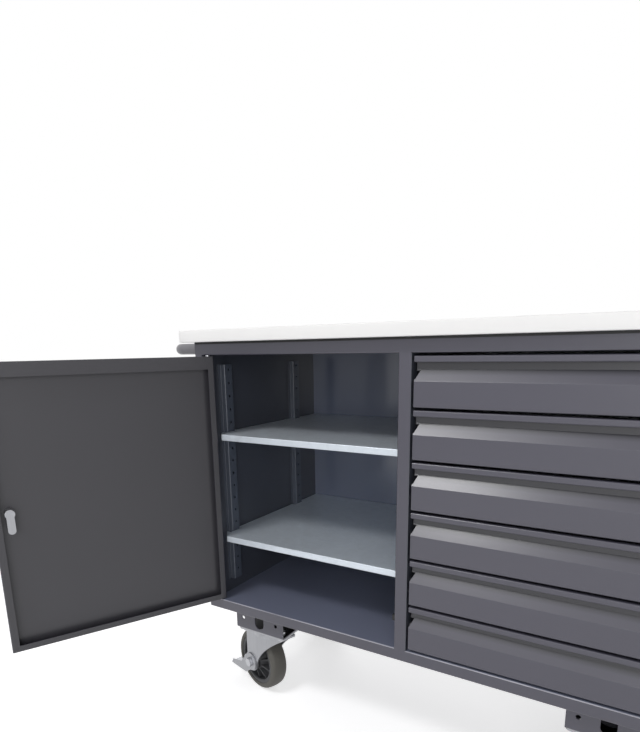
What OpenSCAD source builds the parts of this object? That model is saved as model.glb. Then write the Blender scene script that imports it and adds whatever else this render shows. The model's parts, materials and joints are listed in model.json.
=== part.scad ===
// Mobile workbench: a folded sheet steel body on four casters, with a cupboard behind a
// hinged door on the left, six drawers on the right, a pale worktop and a push handle.
// Millimetres, +Z up, front towards -Y. The door stands open, as in its rest position.

/* [Body] */
// Width over the two side walls
body_w = 1000; // [850:5:1200]
// Depth from the front face to the rear face
body_d = 485; // [450:5:600]
// Height of the sheet steel body, without casters and worktop
body_h = 630; // [560:5:760]
// Width of each hollow side wall, seen from the front
side_w = 20; // [16:1:30]
// Width of the hollow wall between cupboard and drawers
middle_w = 25; // [22:1:36]
// Height of the rail above the door and the drawers
rail_h = 28; // [22:1:40]
// Height of the base under the door and the drawers
base_h = 25; // [20:1:40]
// Depth of the hollow behind the rear wall's skin
back_w = 22; // [18:1:40]
// Thickness of the body's sheet steel
sheet = 1.2; // [0.8:0.1:1.5]
// Inside radius of the folds
fold_r = 1.2; // [0.8:0.1:1.6]
// Depth of the returns that stiffen the top and back panels
return_w = 24; // [18:1:40]

/* [Worktop] */
// Thickness of the worktop
top_t = 25; // [18:1:50]
// Overhang of the worktop on all four sides
top_over = 25; // [10:1:60]
// Radius of the worktop's corners in plan
top_corner_r = 8; // [2:1:20]

/* [Door] */
// Angle at which the door stands open
door_open = 116; // [0:1:118]
// Depth of the folded door tray
door_t = 18; // [15:1:19]
// Gap at the door's upright edges
door_gap_x = 2; // [1.5:0.1:3]
// Gap above and below the door, filled by a washer at each hinge pin
door_gap_z = 2.5; // [1.5:0.1:4]
// Distance of the hinge axis from the side wall
hinge_in = 10.9; // [10.5:0.1:11.5]
// Distance of the hinge axis behind the front face
hinge_back = 6.3; // [5.8:0.1:6.4]
// Diameter of the hinge pins
hinge_pin_d = 5; // [4:0.1:5]
// Thickness of the block behind each hinge bore
hinge_block_t = 4; // [3:0.5:8]
// Width of the door tray's upright lips
door_lip = 14; // [8:1:20]
// Height of the door tray's top lip
door_top_lip = 28; // [10:1:40]

/* [Drawers] */
// Number of drawers
drawer_count = 6; // [6:1:6]
// Gap between drawer fronts
drawer_gap_z = 5; // [3:0.5:7]
// Gap at the ends of a drawer front
drawer_gap_x = 5; // [2:0.5:6]
// Height of the lip that the fingers pull on
grip_lip_h = 11.5; // [8:0.5:18]
// Height of the open recess under the lip
grip_mouth_h = 12; // [10:0.5:20]
// Height of the slope under the recess
grip_slope_h = 21; // [12:0.5:24]
// Depth of the grip recess
grip_d = 14; // [12:1:32]
// How far the ends of the slope are cut back
grip_end_cut = 8; // [1:0.5:12]
// Depth of the return at the foot and ends of a drawer front
front_return = 16; // [8:1:17]
// Height of a drawer's walls
drawer_box_h = 70; // [40:1:74]
// Length of a drawer's box from front to back
drawer_box_l = 400; // [300:5:420]
// Room for a slide between drawer and wall
slide_w = 13; // [12:0.5:16]
// Height of a slide
slide_h = 30; // [24:1:40]
// Clearance between the two parts of a slide
slide_clear = 0.4; // [0.3:0.05:0.6]

/* [Cupboard fittings] */
// Spacing of the holes in the shelf uprights
hole_pitch = 30.5; // [28:0.5:31]
// Diameter of those holes
upright_hole_d = 6; // [5:0.5:8]
// Width of an upright's holed face
upright_w = 27; // [22:1:36]
// How far an upright stands off its wall
upright_d = 13; // [9:1:18]
// Distance of the front uprights behind the front face
upright_front_y = 58; // [45:1:80]
// Distance of the rear uprights behind the front face
upright_rear_y = 340; // [250:1:350]
// Distance of the topmost hole below the top of the body
top_hole_drop = 62; // [55:1:75]
// Hole that carries the upper shelf, counted from the top
upper_shelf_hole = 6; // [4:1:8]
// Hole that carries the lower shelf, counted from the top
lower_shelf_hole = 14; // [11:1:15]
// Thickness of a shelf's sheet
shelf_t = 1; // [0.8:0.1:2]
// Height of a shelf's folded edge
shelf_edge_h = 17; // [12:1:30]
// Gap between shelf and walls
shelf_gap = 2; // [1:0.5:4]
// Distance of the shelves behind the closed door
shelf_front_gap = 2; // [1:0.5:20]
// How far a shelf's front corners are cut off along its front edge
shelf_corner_x = 24; // [5:1:40]
// How far they are cut off towards the rear
shelf_corner_y = 30; // [5:1:36]

/* [Push handle] */
// Diameter of the handle's tube
handle_d = 25; // [20:1:25]
// Wall of the handle's tube
handle_wall = 2; // [1:0.5:3]
// Distance from the side wall to the grip's centre line
handle_reach = 120; // [80:1:140]
// Distance of each arm from the body's front and rear face
handle_inset = 60; // [45:1:120]
// Bend radius of the tube's centre line
handle_bend_r = 35; // [26:1:45]

/* [Casters] */
// Height from floor to mounting plate
caster_h = 195; // [190:1:205]
// Wheel diameter
wheel_d = 160; // [140:1:162]
// Wheel width over the tyre
wheel_w = 44; // [32:1:48]
// Offset of a swivel caster's axle from its swivel axis
caster_trail = 55; // [40:1:58]
// Diameter of the axle
axle_d = 12; // [8:1:16]
// Length of the mounting plate across the bench's width
plate_w = 135; // [110:1:135]
// Depth of the mounting plate
plate_d = 110; // [85:1:110]
// Thickness of the mounting plate
plate_t = 5; // [4:0.5:8]
// Bolt spacing across the bench's width
plate_hole_x = 105; // [80:1:109]
// Bolt spacing from front to back
plate_hole_y = 80; // [60:1:84]
// Diameter of the mounting bolts
plate_bolt_d = 10; // [8:1:11]
// Direction in which the front swivel caster trails, from +X
front_swivel = 162; // [0:1:359]
// Direction in which the rear swivel caster trails, from +X
rear_swivel = 165; // [0:1:359]
// Height of the brackets between body and casters
bracket_h = 55; // [45:1:80]
// Width of a bracket
bracket_w = 137; // [136:1:160]
// Depth of a bracket
bracket_d = 118; // [118:1:140]
// Sheet thickness of a bracket
bracket_t = 3; // [2:0.5:4]
// Distance of the brackets from the body's side
bracket_in_x = 57; // [40:1:90]
// Distance of the brackets from the body's front or rear face
bracket_in_y = 28; // [10:1:50]

/* [Hidden] */

$fn = 48;

PAINT = "#5d5c63";
PAINT_DARK = "#46474c";
ZINC = "#b4b6bb";
GALVANISED = "#8d9aa3";
RUBBER = "#5a5a57";
BLACK = "#1d1d1f";

// Heights from the floor
body_z = caster_h + bracket_h;
base_top_z = body_z + base_h;
rail_z = body_z + body_h - rail_h;
body_top_z = body_z + body_h;
inner_h = rail_z - base_top_z;

// Two equal bays between the hollow walls
bay_w = (body_w - 2 * side_w - middle_w) / 2;
left_bay_x = side_w;
middle_x = left_bay_x + bay_w;
right_bay_x = middle_x + middle_w;
back_y = body_d - back_w;

// Running clearance of a pin in its bore, on the radius
pin_clear = 0.05;
// Clearance of a bolt in its hole, on the radius
bolt_clear = 0.5;
// Gap between moving pieces that pass each other
pass_gap = 0.5;

// Door, drawn closed and then turned about the hinge axis
hinge_x = left_bay_x + hinge_in;
door_x0 = left_bay_x + door_gap_x;
door_x1 = middle_x - door_gap_x;
door_z0 = base_top_z + door_gap_z;
door_z1 = rail_z - door_gap_z;
door_h = door_z1 - door_z0;
door_bottom_lip = 12;
hinge_block_over = 9;
hinge_play = 0.3;
lock_in = 30;
lock_x = door_x1 - lock_in;
lock_z = (door_z0 + door_z1) / 2;
lock_plug_d = 10;
lock_body_d = 18;
lock_head_d = 24;
lock_head_t = 4;
lock_body_l = door_t;
knob_l = 22;
knob_w = 26;
knob_t = 8;
cam_l = lock_in + 10;
cam_w = 14;
cam_t = 2.5;
knob_reach = lock_head_t + pass_gap + knob_l;

// The point that the closed door's point [x, y] reaches when the door stands open
function opened(p) =
  let (u = p[0] - hinge_x, v = p[1] - hinge_back)
  [hinge_x + u * cos(door_open) + v * sin(door_open),
   hinge_back - u * sin(door_open) + v * cos(door_open)];

// Outermost points of the bench in plan, for the origin below the middle of its outline
plan_points = concat(
  [for (x = [door_x0, door_x1], y = [0, door_t]) opened([x, y])],
  [for (s = [-1, 1]) opened([lock_x + s * knob_w / 2, -knob_reach])],
  [[-handle_reach - handle_d / 2, handle_inset], [-top_over, -top_over],
   [body_w + top_over, body_d + top_over]]);
plan_x = [for (p = plan_points) p[0]];
plan_y = [for (p = plan_points) p[1]];
origin_x = (min(plan_x) + max(plan_x)) / 2;
origin_y = (min(plan_y) + max(plan_y)) / 2;

// Drawers
drawer_pitch = (inner_h - drawer_gap_z) / drawer_count;
front_h = drawer_pitch - drawer_gap_z;
front_w = bay_w - 2 * drawer_gap_x;
front_face_h = front_h - grip_lip_h - grip_mouth_h - grip_slope_h;
drawer_box_w = bay_w - 2 * slide_w;
lip_fold_d = 4;
lip_fold_h = 1.5;
drawer_box_y = grip_d + sheet / 2;
drawer_box_lift = 6;
drawer_rim = 6;
slide_sheet = 1.5;
slide_in = 3;
slide_y = max(drawer_box_y, front_return) + slide_in;
slide_l = drawer_box_l - slide_in - slide_sheet;
slide_foot = 12;
slide_lift = drawer_box_lift + slide_foot + slide_h / 2;

function drawer_z(i) = rail_z - drawer_gap_z - front_h - (i - 1) * drawer_pitch;

// Shelves and uprights
upright_end = 12;
upright_foot = 8;
upright_floor_gap = 25;
top_hole_z = body_h - top_hole_drop;
hole_count = 1 + floor((top_hole_z - 2 * upright_end - base_h - upright_floor_gap) / hole_pitch);
upright_low_z = top_hole_z - (hole_count - 1) * hole_pitch - 2 * upright_end;
upright_high_z = top_hole_z + upright_end;
shelf_lip = 14;
shelf_back_gap = 1;
shelf_cut = 1.5;
clip_rise = 8.5;
clip_reach = 12;
clip_w = 16;
clip_drop = 9;
clip_t = 1.5;
clip_peg_l = 4;
peg_d = upright_hole_d - 2 * pin_clear;
buffer_lift = 50;
buffer_w = 12;
buffer_d = 8;

function hole_z(n) = body_z + top_hole_z - (n - 1) * hole_pitch;
function shelf_z(n) = hole_z(n) + clip_rise;

// Brackets and casters
bracket_x = bracket_in_x + bracket_w / 2;
bracket_y = bracket_in_y + bracket_d / 2;
bracket_lip = 22;
bracket_slot_w = 26;
bracket_slot_h = 40;
bracket_hole_d = 9;
bracket_hole_drop = 25;
bracket_hole_x = 48;
bracket_screw_d = 8;
bracket_screw_in = 18;
bracket_screw_x = bracket_w / 2 - bracket_screw_in;
bracket_screw_y = bracket_d / 2 - bracket_t - bracket_lip / 2;
seat_over = 6;
seat_d = bracket_in_y + bracket_d + seat_over;
caster_places = [[bracket_x, bracket_y], [bracket_x, body_d - bracket_y],
                 [body_w - bracket_x, bracket_y], [body_w - bracket_x, body_d - bracket_y]];

wheel_r = wheel_d / 2;
axle_z = wheel_r;
hub_over = 9;
hub_w = wheel_w + 2 * hub_over;
hub_d = 40;
tyre_t = 16;
tread_r = 12;
rim_t = 9;
rim_in = 2;
web_t = 10;
fork_gap = 1;
fork_t = 4;
fork_in = hub_w / 2 + fork_gap;
fork_out = fork_in + fork_t;
head_gap = 9;
crown_t = 5;
crown_z = caster_h - plate_t - head_gap - crown_t;
fixed_crown_z = caster_h - plate_t - crown_t;
crown_front = 60;
crown_front_w = 40;
leg_back = 17;
gusset_bend = [33, 44];
boss_r = 25;
race_d = 100;
race_wall = 3;
race_rim_h = 5;
upper_race_d = 84;
kingpin_d = 14;
kingpin_head_d = 26;
kingpin_head_h = 7;
kingpin_rivet_h = 3;
plate_corner_r = 8;
pedal_t = 3;
pedal_gap = 0.4;
pedal_in = fork_out + pedal_gap;
pedal_out = pedal_in + pedal_t + pedal_gap;
pedal_hub_r = boss_r - 2;
pedal_drop = 40;
pedal_arm_h = 9;
pedal_hole_d = 7;
tread_plate_d = 18;
tread_plate_t = 4;
tread_gap = 4;
pedal_l = sqrt(wheel_r * wheel_r - pedal_drop * pedal_drop) + tread_gap + tread_plate_d;
pedal_tread_w = 2 * (pedal_in + pedal_t);
axle_end = 2;
axle_head_h = 7.5;
axle_head_d = 20;

// Turns a vector in the plane by an angle
function turned(v, a) = [v[0] * cos(a) - v[1] * sin(a), v[0] * sin(a) + v[1] * cos(a)];
function leftwards(v) = [-v[1], v[0]];
function heading(p, q) = (q - p) / norm(q - p);
function turn_angle(a, b) = atan2(a[0] * b[1] - a[1] * b[0], a * b);

// One side of a folded sheet at a fold: an arc about the fold's centre
function fold_side(p, a, b, t, r, side) =
  let (turn = turn_angle(a, b),
       g = sign(turn),
       mid = (b - a) / norm(b - a),
       centre = p + mid * (r + t / 2) / cos(turn / 2),
       radius = r + t / 2 - side * g * t / 2)
  [for (i = [0:4]) centre + radius * turned(-g * leftwards(a), turn * i / 4)];

// Outline of a sheet of thickness t folded along the points of its middle line
function folded(points, t, r) =
  let (n = len(points),
       dirs = [for (i = [0:n - 2]) heading(points[i], points[i + 1])],
       side_points = function (side) concat(
         [points[0] + side * leftwards(dirs[0]) * t / 2],
         [for (i = [1:n - 2]) each fold_side(points[i], dirs[i - 1], dirs[i], t, r, side)],
         [points[n - 1] + side * leftwards(dirs[n - 2]) * t / 2]),
       one = side_points(1),
       other = side_points(-1))
  concat(one, [for (i = [len(other) - 1:-1:0]) other[i]]);

// Puts a piece, drawn from the body's front left corner, into the bench's own frame
module placed() {
  translate([-origin_x, -origin_y, 0]) children();
}

module block(x, y, z) {
  translate([x[0], y[0], z[0]]) cube([x[1] - x[0], y[1] - y[0], z[1] - z[0]]);
}

// Extrudes an outline drawn in Y and Z along X
module along_x(x0, x1) {
  translate([x0, 0, 0]) rotate([90, 0, 90]) linear_extrude(x1 - x0) children();
}

module mirrored_x(centre) {
  children();
  translate([2 * centre, 0, 0]) mirror([1, 0, 0]) children();
}

module round_corner_plate(w, d, r) {
  union() {
    translate([r, 0]) square([w - 2 * r, d]);
    translate([0, r]) square([w, d - 2 * r]);
    for (x = [r, w - r], y = [r, d - r]) translate([x, y]) circle(r);
  }
}

module hexagon(across_flats) {
  circle(d = across_flats / cos(30), $fn = 6);
}

// Hexagon bolt whose head's underside is at z = 0, with the shank downwards
module hex_bolt(d, length, head_h) {
  linear_extrude(head_h) hexagon(1.6 * d);
  translate([0, 0, -length]) cylinder(d = d, h = length);
}

module hex_nut(d, h) {
  difference() {
    linear_extrude(h) hexagon(1.6 * d);
    translate([0, 0, -1]) cylinder(d = d + 2 * pin_clear, h = h + 2);
  }
}

// Worktop

worktop_screw_d = 5;
worktop_screw_in = 90;
worktop_screw_l = 18;
worktop_screw_head_h = 3;
worktop_screw_tip = 1;
worktop_screw_places = [for (x = [worktop_screw_in, body_w / 2, body_w - worktop_screw_in],
                             y = [worktop_screw_in, body_d - worktop_screw_in]) [x, y]];

module worktop() {
  color("#eeece8") placed() difference() {
    translate([-top_over, -top_over, body_top_z])
      linear_extrude(top_t)
      round_corner_plate(body_w + 2 * top_over, body_d + 2 * top_over, top_corner_r);
    for (p = worktop_screw_places)
      translate([p[0], p[1], body_top_z - sheet])
      cylinder(d = worktop_screw_d + 2 * pin_clear, h = worktop_screw_l + sheet);
  }
}

module worktop_screws() {
  color(ZINC) placed()
    for (p = worktop_screw_places)
      translate([p[0], p[1], body_top_z - sheet]) {
        cylinder(d = worktop_screw_d, h = worktop_screw_l + sheet - worktop_screw_tip);
        translate([0, 0, -worktop_screw_head_h]) cylinder(d = 2 * worktop_screw_d, h = worktop_screw_head_h);
      }
}

// Body

// Tray along X with lips down (or up) and returns: an outline in Y and Z
function lipped_tray(z_skin, z_lip, front_in, rear_in) =
  let (s = sheet / 2)
  [[front_in, z_lip], [s, z_lip], [s, z_skin], [body_d - s, z_skin], [body_d - s, z_lip],
   [body_d - rear_in, z_lip]];

module top_panel() {
  s = sheet / 2;
  color(PAINT) placed() difference() {
    union() {
      along_x(0, body_w)
        polygon(folded(lipped_tray(body_top_z - s, rail_z + s, return_w, return_w), sheet, fold_r));
      mirrored_x(body_w / 2) {
        block([0, sheet], [fold_r, body_d - fold_r], [rail_z + s, body_top_z - s]);
        block([0, side_w], [return_w - 1, body_d - return_w + 1], [rail_z, rail_z + sheet]);
      }
    }
    for (p = worktop_screw_places)
      translate([p[0], p[1], body_top_z - 2 * sheet])
      cylinder(d = worktop_screw_d + 2 * bolt_clear, h = 3 * sheet);
    translate([hinge_x, hinge_back, rail_z - sheet])
      cylinder(d = hinge_pin_d + 2 * pin_clear, h = 3 * sheet);
    for (y = handle_arm_y)
      translate([-sheet, y, handle_z]) rotate([0, 90, 0])
      cylinder(d = handle_screw_d + 2 * bolt_clear, h = 3 * sheet);
  }
}

module base_panel() {
  s = sheet / 2;
  color(PAINT) placed() difference() {
    union() {
      along_x(0, body_w)
        polygon(folded(lipped_tray(base_top_z - s, body_z + s, seat_d, seat_d), sheet, fold_r));
      mirrored_x(body_w / 2)
        block([0, sheet], [fold_r, body_d - fold_r], [body_z + s, base_top_z - s]);
    }
    translate([hinge_x, hinge_back, base_top_z - 2 * sheet])
      cylinder(d = hinge_pin_d + 2 * pin_clear, h = 3 * sheet);
    for (p = caster_places, x = [-1, 1], y = [-1, 1])
      translate([p[0] + x * bracket_screw_x, p[1] + y * bracket_screw_y, body_z - sheet])
      cylinder(d = bracket_screw_d + 2 * bolt_clear, h = 3 * sheet);
  }
}

// Hollow wall's folded half: its skin faces away from the liner. The plan outline runs from
// the rear flange's end over the skin to the front flange's end.
module wall_shell(width, depth) {
  s = sheet / 2;
  z = [base_top_z, rail_z];
  translate([0, 0, z[0]])
    linear_extrude(inner_h)
    polygon(folded([[width - sheet, depth - s], [s, depth - s], [s, s], [width - sheet, s]],
                   sheet, fold_r));
  block([s, width - sheet], [sheet, depth - sheet], [z[0], z[0] + sheet]);
  block([s, width - sheet], [sheet, depth - sheet], [z[1] - sheet, z[1]]);
}

// Hollow wall's flat half, which closes the shell on the bay's side
module wall_liner(width, depth) {
  block([width - sheet, width], [0, depth], [base_top_z, rail_z]);
}

handle_screw_d = 8;
handle_plug_l = 22;
handle_z = rail_z + rail_h / 2;
handle_arm_y = [handle_inset, body_d - handle_inset];

module left_side_panel() {
  color(PAINT) placed() wall_shell(side_w, body_d);
}

module left_side_liner() {
  color(PAINT_DARK) placed() wall_liner(side_w, body_d);
}

module right_side_panel() {
  color(PAINT) placed() translate([body_w, 0, 0]) mirror([1, 0, 0]) wall_shell(side_w, body_d);
}

module right_side_liner() {
  color(PAINT_DARK) placed() translate([body_w, 0, 0]) mirror([1, 0, 0]) wall_liner(side_w, body_d);
}

strike_h = cam_w + 6;
strike_y = [door_t + pass_gap - 1.5, door_t + pass_gap + cam_t + 1.5];

// The wall between the bays has a slot that the lock's cam reaches into
module middle_panel() {
  color(PAINT) placed() difference() {
    translate([middle_x, 0, 0]) wall_shell(middle_w, back_y);
    block([middle_x - 1, middle_x + sheet + 1], strike_y, [lock_z - strike_h / 2, lock_z + strike_h / 2]);
  }
}

module middle_liner() {
  color(PAINT_DARK) placed() translate([middle_x, 0, 0]) wall_liner(middle_w, back_y);
}

// Rear wall: the skin faces the bays, its flanges reach back to the body's rear face
module back_panel() {
  s = sheet / 2;
  color(PAINT) placed() {
    along_x(side_w, body_w - side_w)
      polygon(folded([[body_d - s, base_top_z + return_w], [body_d - s, base_top_z + s],
                      [back_y + s, base_top_z + s], [back_y + s, rail_z - s],
                      [body_d - s, rail_z - s], [body_d - s, rail_z - return_w]], sheet, fold_r));
    mirrored_x(body_w / 2)
      block([side_w, side_w + sheet], [back_y + s, body_d], [base_top_z + s, rail_z - s]);
  }
}

// Cupboard fittings

module upright(y) {
  s = sheet / 2;
  x = side_w;
  difference() {
    translate([0, 0, body_z + upright_low_z])
      linear_extrude(upright_high_z - upright_low_z)
      polygon(folded([[x + s, y - upright_foot], [x + s, y + s], [x + upright_d - s, y + s],
                      [x + upright_d - s, y + upright_w - s], [x + s, y + upright_w - s],
                      [x + s, y + upright_w + upright_foot]], sheet, fold_r));
    for (n = [1:hole_count])
      translate([x + upright_d - 2 * sheet, y + upright_w / 2, hole_z(n)])
      rotate([0, 90, 0]) cylinder(d = upright_hole_d, h = 3 * sheet);
  }
}

module left_uprights() {
  color(PAINT_DARK) placed() for (y = [upright_front_y, upright_rear_y]) upright(y);
}

module right_uprights() {
  color(PAINT_DARK) placed() translate([2 * left_bay_x + bay_w, 0, 0]) mirror([1, 0, 0])
    for (y = [upright_front_y, upright_rear_y]) upright(y);
}

// Shelf: a sheet with its edges folded down, cut away round the four uprights and cut off at
// both front corners
module shelf(n) {
  s = shelf_t / 2;
  x = [left_bay_x + shelf_gap, middle_x - shelf_gap];
  y = [door_t + shelf_front_gap, back_y - shelf_back_gap];
  z = shelf_z(n);
  low = z + shelf_t - shelf_edge_h;
  foot = upright_foot + shelf_cut;
  color(GALVANISED) placed() difference() {
    union() {
      along_x(x[0], x[1])
        polygon(folded([[y[0] + shelf_lip, low + s], [y[0] + s, low + s], [y[0] + s, z + s],
                        [y[1] - s, z + s], [y[1] - s, low]], shelf_t, fold_r));
      mirrored_x((x[0] + x[1]) / 2)
        block([x[0], x[0] + shelf_t], [y[0] + s, y[1] - s], [low, z + s]);
    }
    mirrored_x((x[0] + x[1]) / 2)
      for (uy = [upright_front_y, upright_rear_y])
        block([left_bay_x, left_bay_x + upright_d + shelf_cut], [uy - foot, uy + upright_w + foot],
              [z - shelf_edge_h, z + 2 * shelf_t]);
    mirrored_x((x[0] + x[1]) / 2)
      translate([x[0], y[0], z - shelf_edge_h]) linear_extrude(shelf_edge_h + 2 * shelf_t)
      polygon([[-1, -1], [shelf_corner_x, -1], [shelf_corner_x, 0], [0, shelf_corner_y],
               [-1, shelf_corner_y]]);
  }
}

module upper_shelf() {
  shelf(upper_shelf_hole);
}

module lower_shelf() {
  shelf(lower_shelf_hole);
}

// Clip that hangs in an upright's hole and carries a shelf on its tab
module shelf_clip(y, n) {
  x = left_bay_x + upright_d;
  z = hole_z(n);
  top = clip_rise;
  translate([x, y, z]) {
    block([0, clip_t], [-clip_w / 2, clip_w / 2], [-clip_drop, top]);
    block([0, clip_reach], [-clip_w / 2, clip_w / 2], [top - clip_t, top]);
    for (s = [-1, 1])
      translate([0, s * (clip_w / 2 - clip_t / 2) + clip_t / 2, 0])
      rotate([90, 0, 0]) linear_extrude(clip_t)
      polygon([[0, -clip_drop], [clip_t, -clip_drop], [clip_reach, top - clip_t], [clip_reach, top],
               [0, top]]);
    translate([-sheet - clip_peg_l, 0, 0]) rotate([0, 90, 0])
      cylinder(d = peg_d, h = sheet + clip_peg_l + clip_t / 2);
  }
}

module shelf_clips() {
  color(ZINC) placed() mirrored_x(left_bay_x + bay_w / 2)
    for (n = [upper_shelf_hole, lower_shelf_hole], y = [upright_front_y, upright_rear_y])
      shelf_clip(y + upright_w / 2, n);
}

// Rubber buffer that the closed door rests on
module door_buffer() {
  color(BLACK) placed()
    block([middle_x - buffer_w, middle_x], [door_t + pass_gap, door_t + pass_gap + buffer_d],
          [base_top_z + buffer_lift, base_top_z + buffer_lift + buffer_w]);
}

// Door

module door_turned() {
  placed() translate([hinge_x, hinge_back, 0]) rotate([0, 0, -door_open])
    translate([-hinge_x, -hinge_back, 0]) children();
}

module door_panel() {
  s = sheet / 2;
  lips = [door_x0 + door_lip, door_x1 - door_lip];
  in_x = [door_x0 + 0.75 * sheet, door_x1 - 0.75 * sheet];
  in_y = [0.75 * sheet, door_t - 0.75 * sheet];
  color(PAINT_DARK) door_turned() difference() {
    union() {
      translate([0, 0, door_z0])
        linear_extrude(door_h)
        polygon(folded([[lips[0], door_t - s], [door_x0 + s, door_t - s], [door_x0 + s, s],
                        [door_x1 - s, s], [door_x1 - s, door_t - s], [lips[1], door_t - s]],
                       sheet, fold_r));
      block(in_x, in_y, [door_z0, door_z0 + sheet]);
      block(in_x, in_y, [door_z1 - sheet, door_z1]);
      block([lips[0] - 1, lips[1] + 1], [door_t - sheet, door_t], [door_z1 - door_top_lip, door_z1]);
      block([lips[0] - 1, lips[1] + 1], [door_t - sheet, door_t], [door_z0, door_z0 + door_bottom_lip]);
      for (z = [door_z0, door_z1 - hinge_block_t])
        block([in_x[0], hinge_x + hinge_block_over], in_y, [z, z + hinge_block_t]);
    }
    for (z = [door_z0, door_z1 - hinge_block_t])
      translate([hinge_x, hinge_back, z - 1])
      cylinder(d = hinge_pin_d + 2 * pin_clear, h = hinge_block_t + 2);
    translate([lock_x, -1, lock_z]) rotate([-90, 0, 0]) cylinder(d = lock_body_d, h = sheet + 2);
  }
}

// Pins that the door turns on, each with its washer in the gap to the body
module hinge_pins() {
  head_d = 10;
  head_h = 4;
  head_y = head_d / 2 + 2 * sheet;
  washer_d = 10;
  color(ZINC) placed() for (side = [0, 1])
    translate([hinge_x, 0, side == 0 ? base_top_z : rail_z]) mirror([0, 0, side]) {
      translate([0, head_y, -sheet - head_h]) cylinder(d = head_d, h = head_h);
      translate([0, hinge_back, -sheet - 1])
        cylinder(d = hinge_pin_d, h = sheet + 1 + door_gap_z + hinge_block_t);
      translate([0, hinge_back, 0]) difference() {
        cylinder(d = washer_d, h = door_gap_z - hinge_play);
        translate([0, 0, -1]) cylinder(d = hinge_pin_d + 2 * pin_clear, h = door_gap_z + 2);
      }
    }
}

module lock_housing() {
  color(ZINC) door_turned() translate([lock_x, 0, lock_z]) rotate([-90, 0, 0]) difference() {
    union() {
      translate([0, 0, -lock_head_t]) cylinder(d = lock_head_d, h = lock_head_t);
      cylinder(d = lock_body_d - 2 * pin_clear, h = lock_body_l);
    }
    translate([0, 0, -lock_head_t - 1])
      cylinder(d = lock_plug_d + 2 * pin_clear, h = lock_head_t + lock_body_l + 2);
  }
}

// Wing knob on the lock's plug, which reaches through the housing to the cam
module lock_knob() {
  color(BLACK) door_turned() translate([lock_x, 0, lock_z]) rotate([-90, 0, 0]) {
    translate([0, 0, -knob_reach]) linear_extrude(knob_l) {
      square([knob_w - knob_t, knob_t], center = true);
      for (s = [-1, 1]) translate([s * (knob_w - knob_t) / 2, 0]) circle(d = knob_t);
    }
    translate([0, 0, -lock_head_t - pass_gap - 1])
      cylinder(d = lock_plug_d, h = lock_head_t + pass_gap + 1 + lock_body_l + pass_gap);
  }
}

// Cam: it hangs down while unlocked and turns towards the wall between the bays
module lock_cam() {
  y = lock_body_l + pass_gap;
  color(ZINC) door_turned() translate([lock_x, y, lock_z]) rotate([-90, 0, 0])
    linear_extrude(cam_t) {
      circle(d = cam_w + 4);
      translate([-cam_w / 2, 0]) square([cam_w, cam_l - cam_w / 2]);
      translate([0, cam_l - cam_w / 2]) circle(d = cam_w);
    }
}

// Drawers

// Folded front with its grip: foot return, face, slope, recess and lip, an outline in Y and Z.
// The slope's ends are cut back so that the bend can be made.
module drawer_front(i) {
  s = sheet / 2;
  x = [right_bay_x + drawer_gap_x, right_bay_x + drawer_gap_x + front_w];
  z = drawer_z(i);
  slope_z = front_face_h;
  recess_z = slope_z + grip_slope_h;
  color(PAINT) placed() {
    difference() {
      along_x(x[0], x[1])
        translate([0, z])
        polygon(folded([[front_return, s], [s, s], [s, slope_z], [grip_d, recess_z],
                        [grip_d, front_h - s], [s, front_h - s],
                        [s, front_h - grip_lip_h], [lip_fold_d, front_h - grip_lip_h + lip_fold_h]],
                       sheet, fold_r));
      mirrored_x((x[0] + x[1]) / 2)
        translate([x[0], grip_d - sheet, z]) rotate([90, 0, 0])
        linear_extrude(grip_d - 3 * sheet)
        polygon([[-1, slope_z + sheet], [0, slope_z + sheet], [grip_end_cut, recess_z - sheet],
                 [-1, recess_z - sheet]]);
    }
    mirrored_x((x[0] + x[1]) / 2)
      block([x[0], x[0] + sheet], [s, front_return], [z + s, z + front_face_h - 2]);
  }
}

// Open box with a rim folded outwards at the top of its sides, and its two slide members
module drawer_box(i) {
  x = [right_bay_x + slide_w, right_bay_x + slide_w + drawer_box_w];
  y = [drawer_box_y, drawer_box_y + drawer_box_l];
  z = [drawer_z(i) + drawer_box_lift, drawer_z(i) + drawer_box_lift + drawer_box_h];
  color(ZINC) placed() {
    difference() {
      block(x, y, z);
      block([x[0] + sheet, x[1] - sheet], [y[0] + sheet, y[1] - sheet], [z[0] + sheet, z[1] + 1]);
    }
    mirrored_x((x[0] + x[1]) / 2)
      block([x[0] - drawer_rim, x[0]], y, [z[1] - sheet, z[1]]);
    mirrored_x((x[0] + x[1]) / 2)
      translate([right_bay_x, slide_y, drawer_z(i) + slide_lift]) drawer_slide();
  }
}

// Outline of a channel in X and Z, its web at x = web_x and its legs reaching to x = tip_x
module slide_channel(web_x, tip_x, h) {
  s = slide_sheet / 2;
  g = sign(tip_x - web_x);
  polygon(folded([[tip_x, h / 2 - s], [web_x + g * s, h / 2 - s],
                  [web_x + g * s, -h / 2 + s], [tip_x, -h / 2 + s]], slide_sheet, 0.8));
}

module drawer_slide() {
  h = slide_h - 2 * slide_sheet - 2 * slide_clear;
  translate([0, slide_l, 0]) rotate([90, 0, 0]) linear_extrude(slide_l)
    slide_channel(slide_w, 2 * slide_sheet + slide_clear, h);
}

module wall_runner() {
  translate([0, slide_l, 0]) rotate([90, 0, 0]) linear_extrude(slide_l)
    slide_channel(0, slide_w - 2 * slide_sheet, slide_h);
}

module drawer_runners() {
  color(ZINC) placed() mirrored_x(right_bay_x + bay_w / 2)
    for (i = [1:drawer_count])
      translate([right_bay_x, slide_y, drawer_z(i) + slide_lift]) wall_runner();
}

// Push handle

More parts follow.
